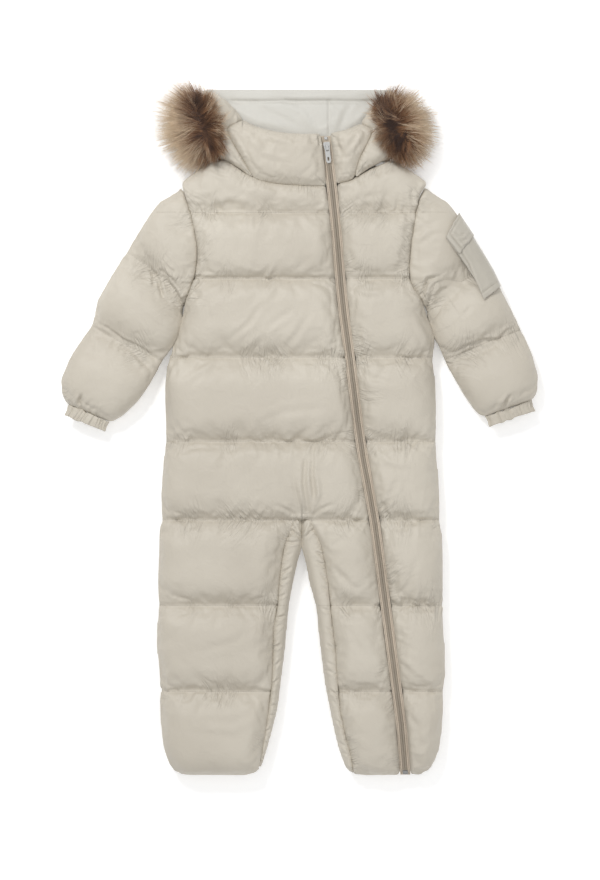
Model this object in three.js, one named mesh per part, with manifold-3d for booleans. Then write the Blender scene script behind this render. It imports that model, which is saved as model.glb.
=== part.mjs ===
// Padded toddler snowsuit with a hood, laid flat on its back.
// Millimetres, +Z up: +X to the right of the picture, +Y towards the hood.
// The origin is on the back's flat underside, on the garment's centre line at the waist.
// "Right" and "left" are the wearer's, so the right sleeve lies at negative X.
import * as THREE from "three";
import { mergeVertices } from "three/addons/utils/BufferGeometryUtils.js";
import Module from "manifold-3d";

const wasm = await Module();
wasm.setup();

// Driving dimensions
const MID = 20; // height of the plane where the front lies on the back
const SEAM_GAP = 0.4; // clearance between two pieces at a seam
const CROWN = 27; // loft of a filled channel above the middle plane
const STITCHED = 8; // loft at a quilting line
const QUILT_REACH = 30; // how far from a quilting line the cloth takes to rise to its full loft
const NECK_RIM = 15; // loft at the neck seam and the shoulders
const ARMHOLE_RIM = 16;
const GUSSET_RIM = 11;
const ARMPIT = 173;
const SIDE_RIM = 2.2; // thickness left at the folded side
const SHOULDER_TIP = 332;
const CROTCH = -120;
const HEM = -466;
const YOKE = 293;
const ZIP_OPENING = 14.5; // visible width between the two fronts
const HOOD_TOP = 461;
const BACK_NECK = 362;

// Quilting lines of the fronts, from the neck to the hem
const QUILT_LINES = [YOKE, 204, 98, -15, -121, -236, -352];
const ROW_STEPS = [0.08, 0.26, 0.5, 0.74, 0.92]; // rows between two quilting lines

// Half outlines of the body: the armhole down to the armpit, then the side down to the hem
const RIGHT_SIDE = [
  { y: 332, x: -161 }, { y: 309, x: -154 }, { y: 282, x: -146 }, { y: 243, x: -138.5 },
  { y: 220, x: -140 }, { y: 203, x: -144 }, { y: 173, x: -154 }, { y: 131, x: -162 },
  { y: 98, x: -178 }, { y: 50, x: -184 }, { y: -15, x: -183 }, { y: -70, x: -188 },
  { y: -121, x: -189 }, { y: -180, x: -193 }, { y: -236, x: -193 }, { y: -295, x: -194 },
  { y: -352, x: -190 }, { y: -405, x: -189 }, { y: -440, x: -184 }, { y: -466, x: -176 },
];
const LEFT_SIDE = [
  { y: 332, x: 171 }, { y: 315, x: 160 }, { y: 283, x: 153 }, { y: 247, x: 147 },
  { y: 217, x: 145 }, { y: 194, x: 149 }, { y: 173, x: 163 }, { y: 155, x: 167 },
  { y: 127, x: 178 }, { y: 98, x: 179 }, { y: 40, x: 182 }, { y: -15, x: 182 },
  { y: -70, x: 186 }, { y: -121, x: 188 }, { y: -180, x: 192 }, { y: -236, x: 191 },
  { y: -295, x: 194 }, { y: -352, x: 193 }, { y: -405, x: 190 }, { y: -440, x: 186 },
  { y: -466, x: 176 },
];
// Middle of the zip, which slants from the chin to the left hem
const ZIP_LINE = [
  { y: 430, x: 29 }, { y: 396, x: 33 }, { y: 331, x: 41 }, { y: 280, x: 46.5 }, { y: 235, x: 50.5 },
  { y: 193, x: 54 }, { y: 155, x: 58 }, { y: 111, x: 64 }, { y: 73, x: 69 },
  { y: 15, x: 76 }, { y: -40, x: 84 }, { y: -88, x: 93 }, { y: -126, x: 99.5 },
  { y: -174, x: 106 }, { y: -251, x: 116 }, { y: -324, x: 125.5 }, { y: -396, x: 135 },
  { y: -466, x: 141 },
];
// Seams where the inner-leg gusset joins the fronts
const RIGHT_GUSSET_SEAM = [
  { y: -120, x: 0 }, { y: -129, x: -9 }, { y: -142, x: -18 }, { y: -168, x: -24 },
  { y: -196, x: -28 }, { y: -238, x: -31 }, { y: -263, x: -36 }, { y: -324, x: -38 },
  { y: -352, x: -40 }, { y: -396, x: -46 }, { y: -434, x: -52 }, { y: -466, x: -58 },
];
const LEFT_GUSSET_SEAM = [
  { y: -120, x: 2 }, { y: -129, x: 14 }, { y: -142, x: 23 }, { y: -168, x: 30 },
  { y: -196, x: 35 }, { y: -238, x: 39 }, { y: -263, x: 42 }, { y: -312, x: 48 },
  { y: -352, x: 50 }, { y: -391, x: 55 }, { y: -424, x: 63 }, { y: -466, x: 72 },
];
// Inner edges of the legs, below the point where they part
const RIGHT_INNER_LEG = [
  { y: -157, x: 0.8 }, { y: -176, x: -4.5 }, { y: -208, x: -11.5 },
  { y: -240, x: -17 }, { y: -273, x: -20 }, { y: -305, x: -23 }, { y: -338, x: -27.5 },
  { y: -370, x: -31 }, { y: -402, x: -38 }, { y: -435, x: -46 }, { y: -466, x: -54 },
];
const LEFT_INNER_LEG = [
  { y: -157, x: 1.2 }, { y: -176, x: 6 }, { y: -208, x: 12 },
  { y: -240, x: 21 }, { y: -273, x: 24 }, { y: -305, x: 28 }, { y: -338, x: 32 },
  { y: -370, x: 38 }, { y: -402, x: 44 }, { y: -435, x: 51 }, { y: -466, x: 60 },
];
// Shoulder line and neck seam of the fronts, across the garment
const FRONT_TOP = [
  { x: -161, y: 332 }, { x: -138, y: 350 }, { x: -112, y: 365 }, { x: -86, y: 354 },
  { x: -66, y: 338 }, { x: -36, y: 332 }, { x: 0, y: 329 }, { x: 40, y: 330 },
  { x: 71, y: 338 }, { x: 98, y: 354 }, { x: 121, y: 364 }, { x: 146, y: 349 },
  { x: 171, y: 332 },
];
// Sections of the sleeves: the outer and inner ends of each line across the cloth, how far
// that line bows towards the cuff, and the loft there
const RIGHT_SLEEVE = [
  { ox: -162, oy: 331, ix: -156, iy: 172, bow: -20, loft: 16 },
  { ox: -191, oy: 308, ix: -158, iy: 170, bow: -13, loft: 22 },
  { ox: -215, oy: 274, ix: -160, iy: 168, bow: -6, loft: 24 },
  { ox: -235, oy: 241, ix: -162, iy: 165, bow: -3, loft: 8 },
  { ox: -257, oy: 206, ix: -165, iy: 139, bow: 2, loft: 25 },
  { ox: -275, oy: 175, ix: -171, iy: 119, bow: 5, loft: 25 },
  { ox: -283, oy: 142, ix: -187, iy: 94, bow: 6, loft: 8 },
  { ox: -308, oy: 104, ix: -201, iy: 67, bow: 5, loft: 25 },
  { ox: -324, oy: 68, ix: -220, iy: 39, bow: 3, loft: 25 },
  { ox: -322, oy: 46, ix: -240, iy: 20, bow: 1, loft: 20 },
  { ox: -316, oy: 36, ix: -256, iy: 11, bow: 0, loft: 9 },
];
const LEFT_SLEEVE = [
  { ox: 172, oy: 331, ix: 165, iy: 172, bow: -20, loft: 16 },
  { ox: 198, oy: 308, ix: 168, iy: 168, bow: -13, loft: 22 },
  { ox: 222, oy: 274, ix: 170, iy: 164, bow: -6, loft: 24 },
  { ox: 254, oy: 222, ix: 172, iy: 160, bow: -3, loft: 8 },
  { ox: 267, oy: 196, ix: 179, iy: 134, bow: 2, loft: 25 },
  { ox: 283, oy: 164, ix: 189, iy: 112, bow: 5, loft: 25 },
  { ox: 297, oy: 136, ix: 194, iy: 95, bow: 6, loft: 8 },
  { ox: 312, oy: 102, ix: 207, iy: 70, bow: 5, loft: 25 },
  { ox: 320, oy: 72, ix: 222, iy: 44, bow: 3, loft: 25 },
  { ox: 319, oy: 52, ix: 236, iy: 25, bow: 1, loft: 20 },
  { ox: 314, oy: 42, ix: 246, iy: 18, bow: 0, loft: 9 },
];
// Hood: seam lines of the chin panel and the outer edges, from the neck to the face opening
const CHIN_RIGHT_SEAM = [
  { x: -62, y: 337 }, { x: -77, y: 363 }, { x: -94, y: 391 }, { x: -101, y: 405 }, { x: -78, y: 418 },
];
const CHIN_LEFT_SEAM = [
  { x: 71, y: 339 }, { x: 77, y: 362 }, { x: 91, y: 389 }, { x: 99, y: 403 }, { x: 80, y: 413 },
];
const HOOD_RIGHT_EDGE = [
  { x: -112, y: 368 }, { x: -119, y: 382 }, { x: -120, y: 405 }, { x: -123, y: 432 }, { x: -134, y: 457 },
];
const HOOD_LEFT_EDGE = [
  { x: 121, y: 367 }, { x: 125, y: 382 }, { x: 125, y: 405 }, { x: 125, y: 432 }, { x: 124, y: 459 },
];
const FACE_EDGE_DROP = 17; // how far the face opening dips in the middle of the chin panel

const COLOURS = {
  shell: { color: 0xcbc4b6, roughness: 0.62, metalness: 0 },
  lining: { color: 0xe9e8e2, roughness: 0.7, metalness: 0 },
  tape: { color: 0xb3a794, roughness: 0.75, metalness: 0 },
  fur: { color: 0x8a6f57, roughness: 0.9, metalness: 0 },
  lightshell: { color: 0xc6c2b8, roughness: 0.66, metalness: 0 },
  metal: { color: 0xc4c4c2, roughness: 0.25, metalness: 1 },
};

const snowsuit = new THREE.Group();

function addPiece(name, geometry, finish) {
  const mesh = new THREE.Mesh(geometry, new THREE.MeshStandardMaterial(COLOURS[finish]));
  mesh.name = name;
  snowsuit.add(mesh);
  return mesh;
}

const mix = (a, b, t) => a + (b - a) * t;
const clamp01 = (t) => Math.min(1, Math.max(0, t));

// Smooth value of column `value` in a table whose column `key` runs steadily up or down
function read(table, key, value, at) {
  const rising = table[table.length - 1][key] > table[0][key];
  let i = 0;
  while (i < table.length - 2 && (rising ? at > table[i + 1][key] : at < table[i + 1][key])) i++;
  const [a, b] = [table[i], table[i + 1]];
  const before = table[Math.max(i - 1, 0)];
  const after = table[Math.min(i + 2, table.length - 1)];
  const span = b[key] - a[key];
  const t = clamp01((at - a[key]) / span);
  const slopeA = i > 0 ? (b[value] - before[value]) / (b[key] - before[key]) : (b[value] - a[value]) / span;
  const last = i + 2 > table.length - 1;
  const slopeB = last ? (b[value] - a[value]) / span : (after[value] - a[value]) / (after[key] - a[key]);
  const t2 = t * t;
  const t3 = t2 * t;
  return (
    (2 * t3 - 3 * t2 + 1) * a[value] + (t3 - 2 * t2 + t) * span * slopeA +
    (3 * t2 - 2 * t3) * b[value] + (t3 - t2) * span * slopeB
  );
}
const xAt = (table, y) => read(table, "y", "x", y);
const yAt = (table, x) => read(table, "x", "y", x);

// Loft of stuffed cloth held down at its edges: each edge has a distance, a reach and a rim height
function pillow(crown, edges) {
  return edges.reduce((h, { distance, reach, rim }) => {
    const short = 1 - clamp01(distance / reach);
    return rim + (h - rim) * Math.sqrt(1 - short * short);
  }, crown);
}

// A closed wall from grids of { x, y, top, bottom } points; grids that share points are joined
function wall(grids) {
  const points = [];
  const index = new Map();
  const upper = [];
  const edges = new Map();
  const idOf = (p) => {
    const key = `${p.x.toFixed(3)},${p.y.toFixed(3)}`;
    if (!index.has(key)) {
      index.set(key, points.length);
      points.push(p);
    }
    return index.get(key);
  };
  const addTriangle = (a, b, c) => {
    if (a === b || b === c || c === a) return;
    upper.push([a, b, c]);
    for (const [from, to] of [[a, b], [b, c], [c, a]]) {
      if (!edges.delete(`${to},${from}`)) edges.set(`${from},${to}`, [from, to]);
    }
  };
  for (const grid of grids) {
    for (let r = 0; r + 1 < grid.length; r++) {
      for (let c = 0; c + 1 < grid[r].length; c++) {
        const [p, q, s, t] = [grid[r][c], grid[r][c + 1], grid[r + 1][c + 1], grid[r + 1][c]].map(idOf);
        const [pp, pq, ps, pt] = [p, q, s, t].map((i) => points[i]);
        const turn = (pq.x - pp.x) * (pt.y - pp.y) - (pt.x - pp.x) * (pq.y - pp.y);
        if (turn > 0) {
          addTriangle(p, q, s);
          addTriangle(p, s, t);
        } else {
          addTriangle(p, s, q);
          addTriangle(p, t, s);
        }
      }
    }
  }
  const n = points.length;
  const positions = new Float32Array(n * 6);
  points.forEach((p, i) => {
    positions.set([p.x, p.y, p.top], i * 3);
    positions.set([p.x, p.y, p.bottom], (n + i) * 3);
  });
  const faces = [];
  for (const [a, b, c] of upper) faces.push(a, b, c, n + a, n + c, n + b);
  for (const [from, to] of edges.values()) faces.push(from, n + from, n + to, from, n + to, to);
  const geometry = new THREE.BufferGeometry();
  geometry.setAttribute("position", new THREE.BufferAttribute(positions, 3));
  geometry.setIndex(faces);
  return geometry;
}

// A closed skin from rings of points, joined one to the next and back to the first
function ringSolid(rings, loop) {
  const size = rings[0].length;
  const positions = [];
  for (const ring of rings) for (const p of ring) positions.push(p.x, p.y, p.z);
  const faces = [];
  const spans = loop ? rings.length : rings.length - 1;
  for (let r = 0; r < spans; r++) {
    const next = (r + 1) % rings.length;
    for (let c = 0; c < size; c++) {
      const d = (c + 1) % size;
      const [a, b, e, f] = [r * size + c, r * size + d, next * size + d, next * size + c];
      faces.push(a, b, e, a, e, f);
    }
  }
  if (!loop) {
    // An end is closed by strips between the way there and the way back
    const last = (rings.length - 1) * size;
    for (let c = 0; c + 1 < size / 2; c++) {
      const [d, e, f] = [c + 1, size - 2 - c, size - 1 - c];
      faces.push(c, e, d, c, f, e, last + c, last + d, last + e, last + c, last + e, last + f);
    }
  }
  const geometry = new THREE.BufferGeometry();
  geometry.setAttribute("position", new THREE.BufferAttribute(new Float32Array(positions), 3));
  geometry.setIndex(faces);
  return facingOut(geometry);
}

function facingOut(geometry) {
  const position = geometry.attributes.position;
  const index = geometry.index.array;
  const [a, b, c] = [new THREE.Vector3(), new THREE.Vector3(), new THREE.Vector3()];
  let volume = 0;
  for (let i = 0; i < index.length; i += 3) {
    a.fromBufferAttribute(position, index[i]);
    b.fromBufferAttribute(position, index[i + 1]);
    c.fromBufferAttribute(position, index[i + 2]);
    volume += a.dot(b.cross(c));
  }
  if (volume < 0) {
    for (let i = 0; i < index.length; i += 3) [index[i + 1], index[i + 2]] = [index[i + 2], index[i + 1]];
  }
  return geometry;
}

function asManifold(geometry) {
  const bare = new THREE.BufferGeometry();
  bare.setAttribute("position", geometry.attributes.position);
  bare.setIndex(geometry.index);
  const merged = mergeVertices(bare.index ? bare : mergeVertices(bare), 1e-4);
  return new wasm.Manifold(
    new wasm.Mesh({
      numProp: 3,
      vertProperties: new Float32Array(merged.attributes.position.array),
      triVerts: new Uint32Array(merged.index.array),
    }),
  );
}

function asGeometry(solid) {
  const { vertProperties, triVerts } = solid.getMesh();
  const geometry = new THREE.BufferGeometry();
  geometry.setAttribute("position", new THREE.BufferAttribute(vertProperties, 3));
  geometry.setIndex(new THREE.BufferAttribute(triVerts, 1));
  return geometry;
}

const joined = (geometries) => asGeometry(geometries.map(asManifold).reduce((a, b) => a.add(b)));

// Trims a piece back from a neighbour, leaving a gap in the direction (dx, dy)
function trimmed(geometry, neighbour, dx, dy) {
  const cutter = neighbour.clone().translate(dx, dy, 0);
  return asGeometry(asManifold(geometry).subtract(asManifold(cutter)));
}

// Rows of the body from the shoulder to the hem: nominal height and the place in its channel
function bodyRows() {
  const lines = [SHOULDER_TIP, ...QUILT_LINES, HEM];
  const rows = [];
  for (let i = 0; i + 1 < lines.length; i++) {
    const [above, below] = [lines[i], lines[i + 1]];
    const steps = i === 0 ? [0, 0.35, 0.7] : [0, ...ROW_STEPS];
    for (const t of steps) rows.push({ y: mix(above, below, t), above, below });
  }
  for (const y of [CROTCH - 9, CROTCH - 37]) rows.push({ y, above: -121, below: -236 });
  rows.push({ y: HEM, above: lines[lines.length - 2], below: HEM });
  return rows.sort((a, b) => b.y - a.y);
}
const ROWS = bodyRows();

// The real height of a point: the yoke follows the neck and the shoulders, the hem has round corners
function settle(nominal, x, across) {
  if (nominal > YOKE) {
    const share = (nominal - YOKE) / (SHOULDER_TIP - YOKE);
    return YOKE + share * (yAt(FRONT_TOP, x) - YOKE);
  }
  const lastLine = QUILT_LINES[QUILT_LINES.length - 1];
  if (nominal < lastLine) {
    const share = (lastLine - nominal) / (lastLine - HEM);
    const corner = Math.pow(Math.abs(2 * across - 1), 7);
    return nominal + 12 * corner * share * share;
  }
  return nominal;
}

function frontLoft(row, x, edges) {
  const channel = row.above - row.below;
  const reach = Math.min(QUILT_REACH, channel * 0.45);
  const topRim = row.above === SHOULDER_TIP ? NECK_RIM : STITCHED;
  const hemRim = row.below === HEM ? 2.5 : STITCHED;
  const crown = row.above === SHOULDER_TIP ? 21 : CROWN;
  return pillow(crown, [
    { distance: row.above - row.y, reach, rim: topRim },
    { distance: row.y - row.below, reach: row.below === HEM ? 26 : reach, rim: hemRim },
    ...edges(row, x),
  ]);
}

// How high the cloth stands beside the zip, which dips a little at each quilting line
function zipRim(y) {
  const lines = [SHOULDER_TIP + 30, ...QUILT_LINES, HEM];
  const i = lines.findIndex((line, k) => k + 1 < lines.length && y <= line && y >= lines[k + 1]);
  const t = i < 0 ? 0 : (lines[i] - y) / (lines[i] - lines[i + 1]);
  const hemFall = clamp01((y - HEM) / 30);
  return (10 + 4 * Math.sin(Math.PI * clamp01(t))) * mix(0.45, 1, Math.sin((hemFall * Math.PI) / 2));
}

const armholeOrSide = (y) => mix(SIDE_RIM, ARMHOLE_RIM, clamp01((y - ARMPIT + 23) / 23));

// A strip of the front between two edge functions, as rows of points
function frontStrip(rows, fromX, toX, columns, edges, whole) {
  return rows.map((row) =>
    columns.map((u) => {
      const [a, b] = [fromX(row.y), toX(row.y)];
      const x = mix(a, b, u);
      const [outer, inner] = whole(row.y);
      const across = (x - outer) / (inner - outer);
      const y = settle(row.y, x, across);
      return { x, y, top: MID + SEAM_GAP / 2 + frontLoft(row, x, edges), bottom: MID + SEAM_GAP / 2 };
    }),
  );
}

const sideEdge = (table) => (row, x) => [
  { distance: Math.abs(x - xAt(table, row.y)), reach: 30, rim: armholeOrSide(row.y) },
];
const zipEdge = (row, x) => [
  { distance: Math.abs(x - xAt(ZIP_LINE, row.y)) - ZIP_OPENING / 2, reach: 24, rim: zipRim(row.y) },
];
const gussetEdge = (table) => (row, x) =>
  row.y < CROTCH ? [{ distance: Math.abs(x - xAt(table, row.y)), reach: 20, rim: GUSSET_RIM }] : [];

// Fronts
const zipRight = (y) => xAt(ZIP_LINE, y) - ZIP_OPENING / 2;
const zipLeft = (y) => xAt(ZIP_LINE, y) + ZIP_OPENING / 2;
const rightSeam = (y) => (y < CROTCH ? xAt(RIGHT_GUSSET_SEAM, y) : 1);
const leftSeam = (y) => (y < CROTCH ? xAt(LEFT_GUSSET_SEAM, y) : 1);
const SIDE_COLUMNS = [0, 0.03, 0.09, 0.2, 0.36, 0.54, 0.72, 0.88, 1];
const INNER_COLUMNS = [0, 0.2, 0.5, 0.8, 1];
const LEFT_COLUMNS = [0, 0.12, 0.34, 0.6, 0.84, 0.95, 1];

function buildFronts() {
  const rightLeg = (y) => [xAt(RIGHT_SIDE, y), y < CROTCH ? xAt(RIGHT_INNER_LEG, y) : 1];
  const leftLeg = (y) => [y < CROTCH ? xAt(LEFT_INNER_LEG, y) : 1, xAt(LEFT_SIDE, y)];
  const both = (...lists) => (row, x) => lists.flatMap((list) => list(row, x));
  const rightX = (y) => xAt(RIGHT_SIDE, y);
  const leftX = (y) => xAt(LEFT_SIDE, y);
  const outerStrip = frontStrip(
    ROWS, rightX, rightSeam, SIDE_COLUMNS, both(gussetEdge(RIGHT_GUSSET_SEAM), sideEdge(RIGHT_SIDE)), rightLeg,
  );
  const innerStrip = frontStrip(
    ROWS, leftSeam, zipRight, INNER_COLUMNS, both(gussetEdge(LEFT_GUSSET_SEAM), zipEdge), leftLeg,
  );
  const right = wall([outerStrip, innerStrip]);
  addPiece("front_right", right, "shell");
  const leftStrip = frontStrip(ROWS, zipLeft, leftX, LEFT_COLUMNS, both(zipEdge, sideEdge(LEFT_SIDE)), leftLeg);
  const left = wall([leftStrip]);
  addPiece("front_left", left, "shell");
  return { right, left };
}

// Inner-leg gusset, one strip for each leg, meeting under the crotch
function buildGusset(name, seam, inner, outward) {
  const rows = ROWS.filter((row) => row.y < CROTCH - 3);
  const legEdge = outward < 0 ? RIGHT_SIDE : LEFT_SIDE;
  const grid = rows.map((row) =>
    [0, 0.3, 0.65, 1].map((u) => {
      const x = mix(xAt(seam, row.y) - outward * SEAM_GAP, xAt(inner, row.y), u);
      const across = (x - xAt(legEdge, row.y)) / (xAt(inner, row.y) - xAt(legEdge, row.y));
      const free = row.y < -157;
      const loft = pillow(15, [
        { distance: Math.abs(x - xAt(seam, row.y)), reach: 14, rim: GUSSET_RIM },
        { distance: row.y - HEM, reach: 26, rim: 2.5 },
        { distance: Math.abs(x - xAt(inner, row.y)), reach: 9, rim: free ? SIDE_RIM : 6 },
      ]);
      return {
        x, y: settle(row.y, x, across),
        top: MID + SEAM_GAP / 2 + loft, bottom: MID + SEAM_GAP / 2,
      };
    }),
  );
  addPiece(name, wall([grid]), "shell");
}

// Back: two halves with a seam down the middle, flat where they rest
const BACK_COLUMNS = [0, 0.015, 0.05, 0.12, 0.5, 0.88, 1];

function buildBack(name, side, inner, outward) {
  const rows = ROWS.filter((row, i) => i % 2 === 0 || row.y === HEM || row.y === CROTCH);
  const grid = rows.map((row) =>
    BACK_COLUMNS.map((u) => {
      const edge = xAt(side, row.y);
      const middle = row.y < CROTCH ? xAt(inner, row.y) : outward * SEAM_GAP * 0.5 + 1;
      const x = mix(edge, middle, u);
      const neckFill = row.y > YOKE ? (row.y - YOKE) / (SHOULDER_TIP - YOKE) : 0;
      const neckLine = Math.abs(x) < 116 ? BACK_NECK : yAt(FRONT_TOP, x);
      const y = row.y > YOKE ? mix(YOKE, neckLine, neckFill) : settle(row.y, x, u);
      const rounded = [
        { distance: Math.abs(x - edge), reach: 26, rim: 0 },
        { distance: row.y < -150 ? Math.abs(x - middle) : 99, reach: 18, rim: 0 },
        { distance: row.y - HEM, reach: 20, rim: 0 },
      ];
      const thickness = pillow(MID - SEAM_GAP / 2 - SIDE_RIM, rounded) + SIDE_RIM;
      return { x, y, top: MID - SEAM_GAP / 2, bottom: MID - SEAM_GAP / 2 - thickness };
    }),
  );
  return addPiece(name, wall([grid]), "shell").geometry;
}

// Sleeves: a padded tube lying flat, its ring worked out from the section at each station
function station(table, along) {
  const rows = table.map((row, i) => ({ ...row, i }));
  return Object.fromEntries(
    ["ox", "oy", "ix", "iy", "bow", "loft"].map((column) => [column, read(rows, "i", column, along)]),
  );
}

// One point of a sleeve's section: `turn` runs from the outer edge over the top to the inner edge
// and back underneath, and `lift` moves the point out from the cloth
function sleevePoint(table, along, turn, lift = 0, squeeze = 1) {
  const s = station(table, along);
  const middle = [(s.ox + s.ix) / 2, (s.oy + s.iy) / 2];
  const half = [(s.ix - s.ox) / 2, (s.iy - s.oy) / 2];
  const width = Math.hypot(half[0], half[1]);
  const angle = turn * 2 * Math.PI;
  const [cos, sin] = [Math.cos(angle), Math.sin(angle)];
  const across = -Math.sign(cos) * Math.pow(Math.abs(cos), 0.86) * (1 + lift / width) * squeeze;
  const bow = s.bow * (1 - Math.min(1, across * across));
  const [ux, uy] = [half[0] / width, half[1] / width];
  const height = Math.pow(Math.abs(sin), 0.72);
  const z = sin >= 0
    ? MID + height * (s.loft + lift)
    : Math.max(0, MID - height * 1.3 * Math.min(MID, s.loft + 12));
  const side = table === RIGHT_SLEEVE ? 1 : -1;
  const x = middle[0] + across * half[0] + side * uy * bow;
  const y = middle[1] + across * half[1] - side * ux * bow;
  const armhole = xAt(table === RIGHT_SLEEVE ? RIGHT_SIDE : LEFT_SIDE, y) - side * SEAM_GAP * 1.5;
  return new THREE.Vector3(mix(armhole, x, clamp01(along * 1.2)), y, z);
}

const SLEEVE_STATIONS = [
  0, 0.35, 1, 1.6, 2.3, 2.8, 3, 3.2, 3.6, 4.1, 5, 5.7, 6, 6.2, 6.5, 7.2, 8, 9, 9.7, 10,
];
const SLEEVE_TURNS = 16;
const ARMHOLE_GAP = 0.6;

function buildSleeve(name, table, outward, neighbours) {
  const outer = SLEEVE_STATIONS.map((along) =>
    Array.from({ length: SLEEVE_TURNS }, (_, k) => sleevePoint(table, along, k / SLEEVE_TURNS)),
  );
  const slit = 0.6; // half the height of the flattened hollow
  const inner = SLEEVE_STATIONS.map((along) =>
    Array.from({ length: SLEEVE_TURNS }, (_, k) => {
      const p = sleevePoint(table, along, k / SLEEVE_TURNS, 0, 0.84);
      const angle = (k / SLEEVE_TURNS) * 2 * Math.PI;
      p.z = MID + slit * Math.sin(angle);
      return p;
    }),
  );
  const tube = ringSolid([...outer, ...inner.reverse()], true);
  const fitted = neighbours.reduce((piece, next) => trimmed(piece, next, outward * ARMHOLE_GAP, 0), tube);
  addPiece(name, fitted, "shell");
}

// Elastic cuff: a short tube with even gathers, its wall about 2.5 mm
const CUFF_GATHERS = 12;
const CUFF_LENGTH = 16;

function buildCuff(name, table) {
  const end = table.length - 1;
  const s = station(table, end);
  const before = station(table, end - 1);
  const middle = new THREE.Vector2((s.ox + s.ix) / 2, (s.oy + s.iy) / 2);
  const half = new THREE.Vector2((s.ix - s.ox) / 2, (s.iy - s.oy) / 2);
  const out = new THREE.Vector2(-half.y, half.x).normalize();
  const toCuff = new THREE.Vector2(middle.x - (before.ox + before.ix) / 2, middle.y - (before.oy + before.iy) / 2);
  if (out.dot(toCuff) < 0) out.negate();
  const steps = CUFF_GATHERS * 3;
  const ring = (down, size, flat, wave) =>
    Array.from({ length: steps }, (_, k) => {
      const angle = (k / steps) * 2 * Math.PI;
      const gather = 1 + wave * Math.cos(CUFF_GATHERS * angle);
      const across = -Math.cos(angle) * size * gather;
      const height = Math.sin(angle);
      const z = height >= 0 ? MID + height * flat * gather : MID + height * flat * 1.1;
      return new THREE.Vector3(
        middle.x + half.x * across + out.x * down, middle.y + half.y * across + out.y * down, z,
      );
    });
  const rings = [
    ring(SEAM_GAP, 0.93, 9, 0.02), ring(CUFF_LENGTH * 0.5, 0.86, 8.5, 0.07), ring(CUFF_LENGTH, 0.9, 7, 0.05),
    ring(CUFF_LENGTH, 0.8, 4.2, 0), ring(CUFF_LENGTH * 0.5, 0.72, 5.2, 0), ring(SEAM_GAP, 0.83, 6.2, 0),
  ];
  addPiece(name, ringSolid(rings, true), "shell");
}

// A four-sided panel between two seams: points follow `from` and `to`, and the ends bow
function seamPoint(line, v) {
  const rows = line.map((p, i) => ({ ...p, i: i / (line.length - 1) }));
  return [read(rows, "i", "x", v), read(rows, "i", "y", v)];
}

function panelPoints(from, to, columns, rows, shape) {
  return rows.map((v) =>
    columns.map((u) => {
      const [ax, ay] = seamPoint(from, v);
      const [bx, by] = seamPoint(to, v);
      const dip = shape.dip(u, v);
      const x = mix(ax, bx, u);
      const y = mix(ay, by, u) + dip;
      const width = Math.hypot(bx - ax, by - ay);
      const length = Math.hypot(
        seamPoint(from, 1)[0] - seamPoint(from, 0)[0], seamPoint(from, 1)[1] - seamPoint(from, 0)[1],
      );
      const { crown, rims, reach, bottom } = shape;
      const loft = pillow(crown, [
        { distance: v * length, reach: reach[0], rim: rims[0] },
        { distance: u * width, reach: reach[1], rim: rims[1] },
        { distance: (1 - u) * width, reach: reach[2], rim: rims[2] },
        { distance: (1 - v) * length, reach: reach[3], rim: rims[3] },
      ]);
      return { x, y, top: bottom + loft, bottom };
    }),
  );
}

const shifted = (line, dx) => line.map((p) => ({ x: p.x + dx, y: p.y }));
const HOOD_FLOOR = MID + SEAM_GAP / 2;
const NECK_GAP = 0.6;
const CHIN_CROWN = 26;
const HOOD_RIM = 18; // loft where the chin panel meets the hood's sides
const FACE_RIM = 6;
const CHIN_DEPTH = 82;
const HOOD_ROWS = [0, 0.1, 0.3, 0.55, 0.78, 0.93, 1];

// Chin panel: its lower edge follows the neck seam and its upper edge is the face opening
function chinPoint(v, u) {
  const [a, b] = [seamPoint(CHIN_RIGHT_SEAM, v), seamPoint(CHIN_LEFT_SEAM, v)];
  const [foot, end] = [CHIN_RIGHT_SEAM[0], CHIN_LEFT_SEAM[0]];
  const neck = yAt(FRONT_TOP, mix(foot.x, end.x, u)) + NECK_GAP - mix(foot.y, end.y, u);
  const bowl = Math.pow(1 - Math.pow(Math.abs(2 * u - 1), 2.4), 0.9);
  const x = mix(a[0], b[0], u);
  const y = mix(a[1], b[1], u) + (1 - v) * neck - Math.pow(v, 1.5) * FACE_EDGE_DROP * bowl;
  const width = Math.hypot(b[0] - a[0], b[1] - a[1]);
  const loft = pillow(CHIN_CROWN, [
    { distance: v * CHIN_DEPTH, reach: 20, rim: NECK_RIM },
    { distance: u * width, reach: 16, rim: HOOD_RIM },
    { distance: (1 - u) * width, reach: 16, rim: HOOD_RIM },
    { distance: (1 - v) * CHIN_DEPTH, reach: 20, rim: FACE_RIM },
    { distance: Math.max(0, Math.abs(x - xAt(ZIP_LINE, y)) - ZIP_OPENING / 2), reach: 20, rim: 11 },
  ]);
  return { x, y, top: HOOD_FLOOR + loft, bottom: HOOD_FLOOR };
}

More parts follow.
